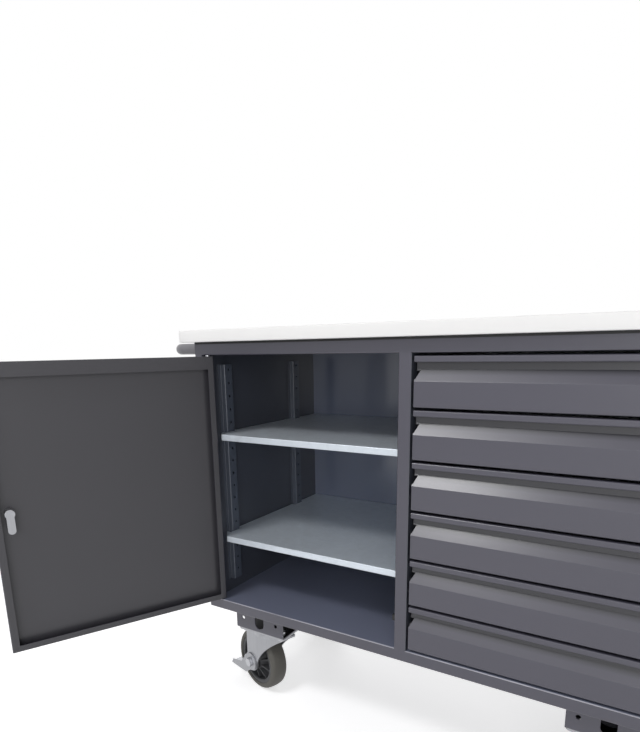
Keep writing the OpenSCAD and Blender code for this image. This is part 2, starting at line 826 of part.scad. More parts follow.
// Bent bar of a diameter, its arms starting at a distance from the body's side
module handle_bar(d, start) {
  reach = handle_reach - handle_bend_r;
  for (y = handle_arm_y)
    translate([-reach, y, handle_z]) rotate([0, 90, 0]) cylinder(d = d, h = reach - start);
  translate([-handle_reach, handle_arm_y[0] + handle_bend_r, handle_z]) rotate([-90, 0, 0])
    cylinder(d = d, h = handle_arm_y[1] - handle_arm_y[0] - 2 * handle_bend_r);
  translate([-reach, handle_arm_y[0] + handle_bend_r, handle_z]) rotate([0, 0, 180])
    rotate_extrude(angle = 90) translate([handle_bend_r, 0]) circle(d = d);
  translate([-reach, handle_arm_y[1] - handle_bend_r, handle_z]) rotate([0, 0, 90])
    rotate_extrude(angle = 90) translate([handle_bend_r, 0]) circle(d = d);
}

// Tube with a plug at each end that takes a screw from inside the body
module push_handle() {
  color("#8a898e") placed() difference() {
    handle_bar(handle_d, 0);
    handle_bar(handle_d - 2 * handle_wall, handle_plug_l);
    for (y = handle_arm_y)
      translate([-handle_plug_l - 1, y, handle_z]) rotate([0, 90, 0])
      cylinder(d = handle_screw_d + 2 * pin_clear, h = handle_plug_l + 2);
  }
}

module push_handle_screws() {
  color(ZINC) placed() for (y = handle_arm_y)
    translate([sheet, y, handle_z]) rotate([0, 90, 0])
    hex_bolt(handle_screw_d, handle_plug_l - 4, 5.3);
}

// Casters

// Channel between body and caster, open at both ends, with its lips under the base
module caster_bracket() {
  s = bracket_t / 2;
  d = bracket_d;
  h = bracket_h;
  difference() {
    along_x(-bracket_w / 2, bracket_w / 2)
      polygon(folded([[-d / 2 + bracket_lip, h - s], [-d / 2 + s, h - s], [-d / 2 + s, s],
                      [d / 2 - s, s], [d / 2 - s, h - s], [d / 2 - bracket_lip, h - s]],
                     bracket_t, bracket_t / 2));
    for (x = [-1, 1])
      translate([x * bracket_hole_x, d, h - bracket_hole_drop]) rotate([90, 0, 0])
      cylinder(d = bracket_hole_d, h = 2 * d);
    translate([0, d, h - bracket_hole_drop]) rotate([90, 0, 0]) linear_extrude(2 * d) {
      square([bracket_slot_w, bracket_slot_h - bracket_slot_w], center = true);
      for (z = [-1, 1]) translate([0, z * (bracket_slot_h - bracket_slot_w) / 2]) circle(d = bracket_slot_w);
    }
    for (x = [-1, 1], y = [-1, 1]) {
      translate([x * bracket_screw_x, y * bracket_screw_y, h - bracket_t - 1])
        cylinder(d = bracket_screw_d + 2 * bolt_clear, h = bracket_t + 2);
      translate([x * plate_hole_x / 2, y * plate_hole_y / 2, -1])
        cylinder(d = plate_bolt_d + 2 * bolt_clear, h = bracket_t + 2);
    }
    translate([0, 0, -1]) cylinder(d = kingpin_head_d + 2 * seat_over, h = bracket_t + 2);
  }
}

module caster_brackets() {
  color(PAINT) placed() for (p = caster_places)
    translate([p[0], p[1], caster_h]) caster_bracket();
}

module bracket_screws() {
  nut_h = 6.5;
  color(ZINC) placed() for (p = caster_places, x = [-1, 1], y = [-1, 1])
    translate([p[0] + x * bracket_screw_x, p[1] + y * bracket_screw_y, body_z]) {
      translate([0, 0, -bracket_t]) mirror([0, 0, 1])
        hex_bolt(bracket_screw_d, bracket_t + sheet + nut_h + 2, 5.3);
      translate([0, 0, sheet]) hex_nut(bracket_screw_d, nut_h);
    }
}

module caster_bolts() {
  nut_h = 8;
  color(ZINC) placed() for (p = caster_places, x = [-1, 1], y = [-1, 1])
    translate([p[0] + x * plate_hole_x / 2, p[1] + y * plate_hole_y / 2, caster_h]) {
      translate([0, 0, -plate_t]) mirror([0, 0, 1])
        hex_bolt(plate_bolt_d, plate_t + bracket_t + nut_h + 2, 6.4);
      translate([0, 0, bracket_t]) hex_nut(plate_bolt_d, nut_h);
    }
}

module plate_outline() {
  difference() {
    translate([-plate_w / 2, -plate_d / 2]) round_corner_plate(plate_w, plate_d, plate_corner_r);
    for (x = [-1, 1], y = [-1, 1])
      translate([x * plate_hole_x / 2, y * plate_hole_y / 2]) circle(d = plate_bolt_d + 2 * bolt_clear);
  }
}

// Points along a curve that leaves p towards q and arrives at r
function curve(p, q, r, steps) =
  [for (i = [0:steps]) let (t = i / steps) (1 - t) * (1 - t) * p + 2 * t * (1 - t) * q + t * t * r];

// Middle line of a fork's side in plan, from rear to front, bent inwards to the crown's end
function fork_plan(trail, rear) =
  let (m = fork_in + fork_t / 2,
       f = (crown_front_w - fork_t) / 2)
  concat(trail == 0 ? [[-crown_front, f], [-boss_r, m]] : [[-trail - rear, m]],
         [[boss_r - trail, m], [crown_front, f]]);

// Outline of a fork's side in the wheel's plane, the axle at [0, 0] and the crown's top above
module leg_profile(trail, top) {
  front = trail + crown_front;
  edge = curve([front, top - crown_t], gusset_bend, [boss_r, 0], 12);
  back = [for (i = [12:-1:0]) [-edge[i][0], edge[i][1]]];
  difference() {
    union() {
      circle(boss_r);
      polygon(concat([[front, top]], edge,
                     trail == 0 ? concat(back, [[-front, top]]) : [[-leg_back, 0], [-leg_back, top]]));
    }
    circle(d = axle_d);
  }
}

// Both sides and the crown of a fork, with the swivel axis or the plate's middle at [0, 0]
module fork_body(trail, crown) {
  side_line = fork_plan(trail, leg_back);
  for (side = [0, 1]) mirror([0, side, 0])
    intersection() {
      linear_extrude(crown + crown_t) polygon(folded(fork_plan(trail, boss_r), fork_t, fork_t));
      translate([-trail, fork_out, axle_z]) rotate([90, 0, 0])
        linear_extrude(fork_out) leg_profile(trail, crown + crown_t - axle_z);
    }
  translate([0, 0, crown]) linear_extrude(crown_t)
    polygon(concat(side_line, [for (i = [len(side_line) - 1:-1:0]) [side_line[i][0], -side_line[i][1]]]));
}

module swivel_at(c) {
  placed() translate([caster_places[c][0], caster_places[c][1], 0])
    rotate([0, 0, (c == 0 ? front_swivel : rear_swivel) + 180]) children();
}

// Mounting plate with the upper ball race, the kingpin and its head
module swivel_plate() {
  pin_z = crown_z - kingpin_head_h;
  race_z = crown_z + crown_t + pass_gap;
  difference() {
    translate([0, 0, caster_h - plate_t]) linear_extrude(plate_t) plate_outline();
    translate([0, 0, caster_h - 2 * plate_t]) cylinder(d = kingpin_d, h = 3 * plate_t);
  }
  translate([0, 0, race_z]) difference() {
    cylinder(d = upper_race_d, h = caster_h - plate_t - race_z);
    translate([0, 0, -plate_t]) cylinder(d = kingpin_d, h = 4 * plate_t);
  }
  translate([0, 0, pin_z]) cylinder(d = kingpin_d, h = caster_h + kingpin_rivet_h - pin_z);
  translate([0, 0, caster_h]) cylinder(d = kingpin_head_d, h = kingpin_head_h);
  translate([0, 0, pin_z]) cylinder(d = kingpin_head_d, h = kingpin_head_h - pass_gap);
}

module front_swivel_plate() {
  color(ZINC) placed() translate([caster_places[0][0], caster_places[0][1], 0]) swivel_plate();
}

module rear_swivel_plate() {
  color(ZINC) placed() translate([caster_places[1][0], caster_places[1][1], 0]) swivel_plate();
}

// Fork with its lower ball race, an open cup that turns about the kingpin
module swivel_fork(c) {
  color(ZINC) swivel_at(c) difference() {
    union() {
      fork_body(caster_trail, crown_z);
      translate([0, 0, crown_z]) cylinder(d = race_d, h = crown_t + race_rim_h);
    }
    translate([0, 0, crown_z + crown_t]) cylinder(d = race_d - 2 * race_wall, h = 2 * race_rim_h);
    translate([0, 0, crown_z - crown_t]) cylinder(d = kingpin_d + 2 * pin_clear, h = 3 * crown_t);
  }
}

module front_swivel_fork() {
  swivel_fork(0);
}

module rear_swivel_fork() {
  swivel_fork(1);
}

// Fixed casters roll along X: plate and fork are one pressed and welded piece
module fixed_forks() {
  color(ZINC) placed() for (c = [2, 3])
    translate([caster_places[c][0], caster_places[c][1], 0]) {
      translate([0, 0, caster_h - plate_t]) linear_extrude(plate_t) plate_outline();
      fork_body(0, fixed_crown_z);
    }
}

// Axle bolt along Y through [0, 0], its head and nut at a distance from the middle
module wheel_axle(half) {
  rotate([90, 0, 0]) {
    translate([0, 0, -half - axle_end]) cylinder(d = axle_d, h = 2 * (half + axle_end));
    translate([0, 0, half]) linear_extrude(axle_head_h) hexagon(axle_head_d);
    translate([0, 0, -half - axle_head_h]) linear_extrude(axle_head_h) hexagon(axle_head_d);
  }
}

module front_swivel_axle() {
  color(ZINC) swivel_at(0) translate([-caster_trail, 0, axle_z]) wheel_axle(pedal_out);
}

module rear_swivel_axle() {
  color(ZINC) swivel_at(1) translate([-caster_trail, 0, axle_z]) wheel_axle(pedal_out);
}

module fixed_axles() {
  color(ZINC) placed() for (c = [2, 3])
    translate([caster_places[c][0], caster_places[c][1], axle_z]) wheel_axle(fork_out);
}

// Half section of the wheel's body, radius along X: hub, dished web and rim
module core_section() {
  rim = wheel_r - tyre_t;
  side = [[axle_d / 2 + pin_clear, hub_w / 2], [hub_d / 2, hub_w / 2],
          [hub_d / 2 + rim_in, hub_w / 2 - rim_in], [hub_d / 2 + rim_t, web_t / 2 + rim_in],
          [rim - rim_t - rim_in, web_t / 2], [rim - rim_t, wheel_w / 2 - 2 * rim_in],
          [rim - rim_t + rim_in, wheel_w / 2 - rim_in], [rim, wheel_w / 2 - rim_in]];
  polygon(concat(side, [for (i = [len(side) - 1:-1:0]) [side[i][0], -side[i][1]]]));
}

// Half section of the tyre: a rounded tread between flat flanks
module tyre_section() {
  inner = wheel_r - tyre_t;
  flank = wheel_r - tread_r;
  translate([inner, -wheel_w / 2]) square([flank - inner, wheel_w]);
  translate([flank - 1, -wheel_w / 2 + tread_r]) square([tread_r + 1, wheel_w - 2 * tread_r]);
  for (s = [-1, 1]) intersection() {
    translate([flank, s * (wheel_w / 2 - tread_r)]) circle(tread_r);
    translate([inner, -wheel_w]) square([tyre_t, 2 * wheel_w]);
  }
}

module wheel_turned(c) {
  if (c < 2) swivel_at(c) translate([-caster_trail, 0, axle_z]) rotate([90, 0, 0]) children();
  else placed() translate([caster_places[c][0], caster_places[c][1], axle_z])
    rotate([90, 0, 0]) children();
}

module wheel_core(c) {
  color("#3c3d3f") wheel_turned(c) rotate_extrude() core_section();
}

module tyre(c) {
  color(RUBBER) wheel_turned(c) rotate_extrude() tyre_section();
}

module front_left_wheel_core() { wheel_core(0); }
module rear_left_wheel_core() { wheel_core(1); }
module front_right_wheel_core() { wheel_core(2); }
module rear_right_wheel_core() { wheel_core(3); }
module front_left_tyre() { tyre(0); }
module rear_left_tyre() { tyre(1); }
module front_right_tyre() { tyre(2); }
module rear_right_tyre() { tyre(3); }

// Brake pedal: two arms that turn on the axle outside the fork, joined by a tread plate
module brake_pedal(c) {
  tip = [tread_plate_t - pedal_l, -pedal_drop];
  knee = [-pedal_l / 2, -pedal_drop / 2];
  color(ZINC) swivel_at(c) translate([-caster_trail, 0, axle_z]) {
    for (side = [-1, 1])
      translate([0, side * (pedal_in + pedal_t / 2) + pedal_t / 2, 0])
      rotate([90, 0, 0]) linear_extrude(pedal_t) difference() {
        union() {
          circle(pedal_hub_r);
          polygon([[0, pedal_hub_r], [-pedal_hub_r, pedal_hub_r / 2], knee, tip + [0, pedal_arm_h],
                   tip - [0, tread_plate_t / 2], [-pedal_hub_r, -pedal_drop], [0, -pedal_hub_r]]);
        }
        circle(d = axle_d + 2 * pin_clear);
        translate([-boss_r - pedal_hole_d, 0]) circle(d = pedal_hole_d);
      }
    translate([-pedal_l, -pedal_tread_w / 2, tip[1] - tread_plate_t / 2])
      cube([tread_plate_d, pedal_tread_w, tread_plate_t]);
  }
}

module front_brake_pedal() {
  brake_pedal(0);
}

module rear_brake_pedal() {
  brake_pedal(1);
}

module drawer_1_front() { drawer_front(1); }
module drawer_2_front() { drawer_front(2); }
module drawer_3_front() { drawer_front(3); }
module drawer_4_front() { drawer_front(4); }
module drawer_5_front() { drawer_front(5); }
module drawer_6_front() { drawer_front(6); }
module drawer_1_box() { drawer_box(1); }
module drawer_2_box() { drawer_box(2); }
module drawer_3_box() { drawer_box(3); }
module drawer_4_box() { drawer_box(4); }
module drawer_5_box() { drawer_box(5); }
module drawer_6_box() { drawer_box(6); }

worktop();
worktop_screws();
top_panel();
base_panel();
left_side_panel();
left_side_liner();
right_side_panel();
right_side_liner();
middle_panel();
middle_liner();
back_panel();
left_uprights();
right_uprights();
upper_shelf();
lower_shelf();
shelf_clips();
drawer_runners();
push_handle();
push_handle_screws();
hinge_pins();
door_buffer();
caster_brackets();
bracket_screws();
caster_bolts();
door_panel();
lock_housing();
lock_knob();
lock_cam();
drawer_1_front();
drawer_2_front();
drawer_3_front();
drawer_4_front();
drawer_5_front();
drawer_6_front();
drawer_1_box();
drawer_2_box();
drawer_3_box();
drawer_4_box();
drawer_5_box();
drawer_6_box();
front_swivel_plate();
rear_swivel_plate();
front_swivel_fork();
rear_swivel_fork();
front_brake_pedal();
rear_brake_pedal();
front_swivel_axle();
rear_swivel_axle();
fixed_forks();
fixed_axles();
front_left_wheel_core();
rear_left_wheel_core();
front_right_wheel_core();
rear_right_wheel_core();
front_left_tyre();
rear_left_tyre();
front_right_tyre();
rear_right_tyre();
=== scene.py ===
# %% [markdown]
# A mobile workbench, dressed for its picture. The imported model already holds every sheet,
# runner, bolt and wheel at its real size. This file gives each of them its finish, draws the
# worktop, the shelves and the tyres more finely, adds small pieces such as ribs and seals, and
# lights the bench softly.

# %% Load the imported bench
import json
import math

import bpy
import numpy as np
from mathutils import Matrix, Vector


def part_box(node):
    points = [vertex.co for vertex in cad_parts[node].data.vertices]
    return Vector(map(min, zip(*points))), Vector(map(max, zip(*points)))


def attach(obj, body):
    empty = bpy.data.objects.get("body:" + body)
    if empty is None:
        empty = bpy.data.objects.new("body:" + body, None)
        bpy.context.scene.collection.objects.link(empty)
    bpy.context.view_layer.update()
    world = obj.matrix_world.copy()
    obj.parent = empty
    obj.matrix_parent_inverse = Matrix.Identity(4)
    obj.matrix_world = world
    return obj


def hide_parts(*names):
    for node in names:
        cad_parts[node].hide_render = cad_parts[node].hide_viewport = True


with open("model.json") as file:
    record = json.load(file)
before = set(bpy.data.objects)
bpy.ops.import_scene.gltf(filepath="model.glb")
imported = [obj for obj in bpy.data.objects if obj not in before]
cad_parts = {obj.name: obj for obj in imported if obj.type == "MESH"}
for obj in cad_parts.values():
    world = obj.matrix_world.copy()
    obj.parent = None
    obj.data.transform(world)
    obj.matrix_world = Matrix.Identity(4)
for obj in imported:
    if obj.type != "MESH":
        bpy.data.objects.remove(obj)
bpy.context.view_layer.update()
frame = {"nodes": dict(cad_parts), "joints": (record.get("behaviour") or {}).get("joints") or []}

# %% [markdown]
# The camera comes first. The bench was seen from its front right, from just below the height
# of the worktop and looking a little down, and the picture keeps only the left part of that
# view. A crop like this leaves the lens' middle away from the picture's middle, so the camera
# has a shift. The picture's straight edges were traced back to one eye point, which also gave
# the camera's turn, tilt and roll.

# %% Camera
PICTURE_W, PICTURE_H = 640, 732
SENSOR_W = 36.0
FOCAL_PX = 561.8
LENS_MIDDLE = (312.0, 479.9)
TURN, TILT, ROLL = (math.radians(a) for a in (32.33, 13.22, -1.07))
EYE_FROM_CORNER = Vector((0.8994, -0.9452, 0.6135))

body_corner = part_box("base_panel")[0]


def look_matrix(turn, tilt, roll):
    """Turned left from +Y by turn, down by tilt, then rolled about the line of sight."""
    ahead = Vector((-math.sin(turn) * math.cos(tilt), math.cos(turn) * math.cos(tilt),
                    -math.sin(tilt)))
    side = Vector((math.cos(turn), math.sin(turn), 0.0))
    up = side.cross(ahead)
    right = math.cos(roll) * side + math.sin(roll) * up
    over = -math.sin(roll) * side + math.cos(roll) * up
    return Matrix((right, over, -ahead)).transposed().to_4x4()


camera_data = bpy.data.cameras.new("camera")
camera_data.sensor_fit = "HORIZONTAL"
camera_data.sensor_width = SENSOR_W
camera_data.lens = FOCAL_PX / PICTURE_W * SENSOR_W
camera_data.shift_x = (PICTURE_W / 2 - LENS_MIDDLE[0]) / PICTURE_W
camera_data.shift_y = (LENS_MIDDLE[1] - PICTURE_H / 2) / PICTURE_W
camera = bpy.data.objects.new("camera", camera_data)
bpy.context.scene.collection.objects.link(camera)
eye = Matrix.Translation(body_corner + EYE_FROM_CORNER)
camera.matrix_world = eye @ look_matrix(TURN, TILT, ROLL)
bpy.context.scene.camera = camera
bpy.context.scene.view_settings.view_transform = "Standard"
print("lens", round(camera_data.lens, 2), "mm, shift",
      round(camera_data.shift_x, 4), round(camera_data.shift_y, 4))

# %% [markdown]
# A shape is an array of points and a list of faces. One helper joins the points of a grid into
# faces, open or closed in either direction. Another makes the object, and turns all its faces
# outwards where the shape's volume comes out below zero. Every new piece goes through it.

# %% Grid to mesh


def volume(points, faces):
    """Signed volume: the sum over each face's fan of a . (b x c) / 6, above 0 where faces
    look out."""
    total = 0.0
    for size in set(map(len, faces)):
        p = points[[face for face in faces if len(face) == size]]
        total += np.einsum("fkx,fx->", np.cross(p[:, 1:-1], p[:, 2:]), p[:, 0]) / 6
    return total


def mesh_piece(name, points, faces, smooth=True):
    """Makes an object at the origin from an array of points and a list of faces, turned
    outwards."""
    mesh = bpy.data.meshes.new(name)
    points = np.asarray(points, float).reshape(-1, 3)
    if volume(points, faces) < 0:
        faces = [face[::-1] for face in faces]
    mesh.from_pydata(points.tolist(), [], faces)
    mesh.polygons.foreach_set("use_smooth", [smooth] * len(mesh.polygons))
    mesh.update()
    piece = bpy.data.objects.new(name, mesh)
    bpy.context.scene.collection.objects.link(piece)
    return piece


def grid_faces(rows, columns, close_rows=False, close_columns=False):
    """Four corners of each cell: (i, j), (i+1, j), (i+1, j+1), (i, j+1), wrapped where closed."""
    i = np.arange(rows if close_rows else rows - 1)
    j = np.arange(columns if close_columns else columns - 1)
    i, j = (a.ravel() for a in np.meshgrid(i, j, indexing="ij"))
    i2, j2 = (i + 1) % rows, (j + 1) % columns
    corners = [i * columns + j, i2 * columns + j, i2 * columns + j2, i * columns + j2]
    return np.stack(corners, 1).tolist()


print("a closed ring of 4 by 3 points has", len(grid_faces(4, 3, True, True)), "faces")

# %% [markdown]
# Round pieces such as tyres are a section turned round an axle. Boards and rails are an outline
# with rounded corners, stacked in height.

# %% Turned and rounded outlines
ARC_STEPS = 6


def turned(name, profile, centre, axis, steps=96):
    """Surface of revolution: at angle t, a point (a, r) of the closed profile lies at
    centre + a * axis + r * (cos t * e1 + sin t * e2), with e1 and e2 square to the axis."""
    axis = np.asarray(Vector(axis).normalized())
    e1 = np.cross(axis, (0.0, 0.0, 1.0) if abs(axis[2]) < 0.9 else (1.0, 0.0, 0.0))
    e1 /= np.linalg.norm(e1)
    e2 = np.cross(axis, e1)
    t = np.linspace(0, 2 * np.pi, steps, endpoint=False)[:, None, None]
    profile = np.asarray(profile, float)
    a, r = profile[None, :, 0:1], profile[None, :, 1:2]
    points = np.asarray(centre) + a * axis + r * (np.cos(t) * e1 + np.sin(t) * e2)
    return mesh_piece(name, points, grid_faces(steps, len(profile), True, True))


def rounded(corners, radius, steps=ARC_STEPS):
    """Closed outline with each corner replaced by an arc that touches both its sides: the arc's
    middle lies on the corner's bisector, radius / sin(half the corner's angle) away."""
    corners = np.asarray(corners, float)
    radii = np.broadcast_to(radius, len(corners))
    out = []
    for k, r in enumerate(radii):
        p = corners[k]
        to_a = corners[k - 1] - p
        to_b = corners[(k + 1) % len(corners)] - p
        to_a, to_b = to_a / np.linalg.norm(to_a), to_b / np.linalg.norm(to_b)
        half = math.acos(np.clip(to_a @ to_b, -1, 1)) / 2
        sweep = math.pi - 2 * half
        reach = r / math.tan(half)
        middle = p + (to_a + to_b) / np.linalg.norm(to_a + to_b) * r / math.sin(half)
        start, end = p + to_a * reach - middle, p + to_b * reach - middle
        w = np.linspace(0, 1, steps)[:, None]
        arc = start * np.sin((1 - w) * sweep) + end * np.sin(w * sweep)
        out.append(middle + arc / max(math.sin(sweep), 1e-9))
    return np.concatenate(out)


joint_of = {j["name"]: j for j in frame["joints"]}
print("joints:", len(joint_of))

# %% [markdown]
# Nodes are wired by a few helpers. One adds a node, one feeds an input from a socket or a plain
# number, and one works out a sum, so that a mask reads almost like its formula.

# %% Node helpers


def new_material(name):
    """A node material with only its output and its Principled shader."""
    material = bpy.data.materials.new(name)
    material.use_nodes = True
    return material, material.node_tree.nodes, material.node_tree.links


def node(nodes, kind, **values):
    """Adds a node. A keyword sets the node's property of that name or, where there is none, the
    input whose name has a space for each underscore."""
    made = nodes.new(kind)
    for key, value in values.items():
        if hasattr(made, key):
            setattr(made, key, value)
        else:
            made.inputs[key.replace("_", " ")].default_value = value
    return made


def feed(links, source, entry):
    """Links an output socket to an input, or sets the input where the source is a plain value."""
    if hasattr(source, "is_linked"):
        links.new(source, entry)
    else:
        entry.default_value = source


def worked_out(nodes, links, operation, *terms):
    """The result of one sum, whose terms are output sockets or numbers."""
    sum_node = node(nodes, "ShaderNodeMath", operation=operation)
    for term, entry in zip(terms, sum_node.inputs):
        feed(links, term, entry)
    return sum_node.outputs[0]


def seen_or_lit(nodes, links, lit, seen):
    """The value seen where a camera, glossy or transmission ray meets the surface, else lit."""
    ray = node(nodes, "ShaderNodeLightPath").outputs
    direct = worked_out(nodes, links, "MAXIMUM", ray["Is Camera Ray"], ray["Is Glossy Ray"])
    switch = node(nodes, "ShaderNodeMapRange", To_Min=lit, To_Max=seen)
    links.new(worked_out(nodes, links, "MAXIMUM", direct, ray["Is Transmission Ray"]),
              switch.inputs["Value"])
    return switch.outputs["Result"]


# %% [markdown]
# The bench stands on a plain pale floor in a bright white room. What the camera and the
# reflections see of the room is plain white, while the light that falls on the bench comes
# from a dim world and three large soft lamps, so the dark paint keeps its own tone.

# %% Floor, room and lamps
FLOOR_SIZE = 12.0
FLOOR_PALE = (0.86, 0.86, 0.87, 1.0)
FLOOR_GLOW = 0.55
WHITE = (1.0, 1.0, 1.0, 1.0)
ROOM_LIGHT, ROOM_SEEN = 0.36, 1.0
# Each lamp has its place, the point it faces, its width and height, and its power in watts.
LAMPS = {
    "overhead_softbox": ((-0.72, -1.55, 2.5), (0.1, 0.0, 0.6), (0.85, 0.4), 25),
    "front_softbox": ((1.6, -3.2, 1.4), (0.0, 0.0, 0.55), (2.2, 2.0), 41),
    "rear_softbox": ((-1.6, 2.8, 2.2), (0.0, 0.0, 0.5), (2.0, 2.0), 25),
}

world = bpy.data.worlds.new("room")
world.use_nodes = True
bpy.context.scene.world = world
world_nodes, world_links = world.node_tree.nodes, world.node_tree.links
background = world_nodes["Background"]
background.inputs["Color"].default_value = WHITE
world_links.new(seen_or_lit(world_nodes, world_links, ROOM_LIGHT, ROOM_SEEN),
                background.inputs["Strength"])

floor_corners = [(x * FLOOR_SIZE, y * FLOOR_SIZE, 0)
                 for x, y in ((-1, -1), (1, -1), (1, 1), (-1, 1))]
floor = mesh_piece("floor", floor_corners, [(0, 1, 2, 3)])
floor_paint, floor_nodes, floor_links = new_material("pale_floor")
floor_shader = floor_nodes["Principled BSDF"]
floor_shader.inputs["Base Color"].default_value = FLOOR_PALE
floor_shader.inputs["Roughness"].default_value = 0.9
floor_shader.inputs["Specular IOR Level"].default_value = 0.1
floor_shader.inputs["Emission Color"].default_value = WHITE
floor_links.new(seen_or_lit(floor_nodes, floor_links, 0.0, FLOOR_GLOW),
                floor_shader.inputs["Emission Strength"])
floor.data.materials.append(floor_paint)


def soft_lamp(name, place, aim, size, power):
    """A rectangular lamp at a place, facing a point."""
    data = bpy.data.lights.new(name, "AREA")
    data.shape = "RECTANGLE"
    data.size, data.size_y, data.energy = size[0], size[1], power
    lamp = bpy.data.objects.new(name, data)
    bpy.context.scene.collection.objects.link(lamp)
    facing = (Vector(aim) - Vector(place)).to_track_quat("-Z", "Y").to_matrix().to_4x4()
    lamp.matrix_world = Matrix.Translation(place) @ facing
    return lamp


for lamp_name, lamp_values in LAMPS.items():
    soft_lamp(lamp_name, *lamp_values)
print("lamps:", {name: f"{values[3]} W" for name, values in LAMPS.items()})

# %% [markdown]
# Each surface effect is a node group that is built once, and some come back on several
# finishes: the faint orange-peel skin of powder coat with three variants, the drawn streaks of
# zinc-plated sheet, the spangle of galvanised sheet, and the fine grain of rubber and plastic.
# They read Object coordinates, so the grain has its real size in metres on every piece. Each
# ends in a colour, a roughness and a normal, and the helpers here make those three.

# %% Parts of a surface effect


def effect_group(name, inputs, masks=()):
    """A shader node group with the named inputs and the outputs Colour, Roughness and Normal,
    with a number output for each named mask. Returns its nodes, its links, the given values,
    the results to feed, and the place on the piece."""
    tree = bpy.data.node_groups.new(name, "ShaderNodeTree")
    kinds = {tuple: "NodeSocketColor", Vector: "NodeSocketVector"}
    for label, value in inputs.items():
        kind = kinds.get(type(value), "NodeSocketFloat")
        socket = tree.interface.new_socket(label, in_out="INPUT", socket_type=kind)
        socket.default_value = value
    results = {"Colour": "NodeSocketColor", "Roughness": "NodeSocketFloat",
               "Normal": "NodeSocketVector", **{mask: "NodeSocketFloat" for mask in masks}}
    for label, kind in results.items():
        tree.interface.new_socket(label, in_out="OUTPUT", socket_type=kind)
    given = tree.nodes.new("NodeGroupInput").outputs
    result = tree.nodes.new("NodeGroupOutput").inputs
    here = tree.nodes.new("ShaderNodeTexCoord").outputs["Object"]
    return tree.nodes, tree.links, given, result, here


def mixed_colour(nodes, links, blend, factor, a, b):
    """A Mix node's colour sockets are the seventh and eighth, its colour output the third."""
    mix = node(nodes, "ShaderNodeMix", data_type="RGBA", blend_type=blend)
    for source, entry in ((factor, mix.inputs[0]), (a, mix.inputs[6]), (b, mix.inputs[7])):
        feed(links, source, entry)
    return mix.outputs[2]


def shaded(nodes, links, base, mask, low, high, spread):
    """base times a factor that runs from low to high as the mask runs from 0 to 1, by spread."""
    factor = node(nodes, "ShaderNodeMapRange", To_Min=low, To_Max=high)
    links.new(mask, factor.inputs["Value"])
    grey = node(nodes, "ShaderNodeCombineColor")
    for channel in grey.inputs:
        links.new(factor.outputs["Result"], channel)
    return mixed_colour(nodes, links, "MULTIPLY", spread, base, grey.outputs["Color"])


def rough_from(nodes, links, mask, base, spread):
    """base + spread * (mask - 0.5)"""
    centred = worked_out(nodes, links, "SUBTRACT", mask, 0.5)
    return worked_out(nodes, links, "MULTIPLY_ADD", centred, spread, base)


def bumped(nodes, links, height, depth):
    """Normal of a surface raised by height (0 to 1) times depth in metres."""
    bump = node(nodes, "ShaderNodeBump", Strength=1.0)
    links.new(height, bump.inputs["Height"])
    links.new(depth, bump.inputs["Distance"])
    return bump.outputs["Normal"]


def noise_at(nodes, links, vector, per_metre, detail=2.0, stretch=None):
    """Noise of so many cells per metre, drawn out along an axis where stretch is smaller."""
    if stretch is not None:
        mapping = node(nodes, "ShaderNodeMapping", Scale=stretch)
        links.new(vector, mapping.inputs["Vector"])
        vector = mapping.outputs["Vector"]
    noise = node(nodes, "ShaderNodeTexNoise", Detail=detail)
    links.new(vector, noise.inputs["Vector"])
    feed(links, per_metre, noise.inputs["Scale"])
    return noise.outputs["Fac"]


def split(nodes, links, vector):
    """The numbers X, Y and Z of a vector."""
    parts = node(nodes, "ShaderNodeSeparateXYZ")
    links.new(vector, parts.inputs[0])
    return parts.outputs


# %% [markdown]
# Powder coat melts into broad, faint changes of tone and a skin of shallow bumps about a
# millimetre wide. Every kind of powder ends in the same skin, and only its colour is worked
# out in a different way, so the skin is a helper and its values are shared.

# %% Powder coat
POWDER = {"Paint": (0.1, 0.1, 0.11, 1.0), "Roughness": 0.4, "Tone Spread": 1.0,
          "Roughness Spread": 0.12, "Grain Scale": 900.0, "Grain Depth": 0.00002}


def powder_skin(nodes, links, given, result, here, paint):
    """Ends a powder group: the given colour with the broad tone, the roughness and the skin."""
    broad = noise_at(nodes, links, here, per_metre=3.0)
    fine = noise_at(nodes, links, here, given["Grain Scale"], detail=1.0)
    links.new(shaded(nodes, links, paint, broad, 0.9, 1.1, given["Tone Spread"]),
              result["Colour"])
    links.new(rough_from(nodes, links, broad, given["Roughness"], given["Roughness Spread"]),
              result["Roughness"])
    links.new(bumped(nodes, links, fine, given["Grain Depth"]), result["Normal"])


nodes, links, given, result, here = effect_group("powder_skin", POWDER)
powder_skin(nodes, links, given, result, here, given["Paint"])
print("powder coat takes", ", ".join(POWDER))

# %% [markdown]
# In a drawer's grip the colour darkens the deeper the sheet lies behind the front's face, which is
# painted shade in the recess. The depth is the place's Y less the face's own, so one mask serves
# all six fronts.

# %% Painted shade in a grip
# The second colour is a near-black painted shade, reached between two depths behind the face.
nodes, links, given, result, here = effect_group("grip_recess_shade", {
    **POWDER, "Recess Shade Paint": (0.02, 0.02, 0.022, 1.0), "Face Y": 0.0, "Shade From": 0.007,
    "Shade At": 0.013})
behind = worked_out(nodes, links, "SUBTRACT", split(nodes, links, here)["Y"], given["Face Y"])
deep_shade = node(nodes, "ShaderNodeMapRange")
for source, label in ((behind, "Value"), (given["Shade From"], "From Min"),
                      (given["Shade At"], "From Max")):
    links.new(source, deep_shade.inputs[label])
powder_skin(nodes, links, given, result, here,
            mixed_colour(nodes, links, "MIX", deep_shade.outputs["Result"], given["Paint"],
                         given["Recess Shade Paint"]))
print("grip powder is built")
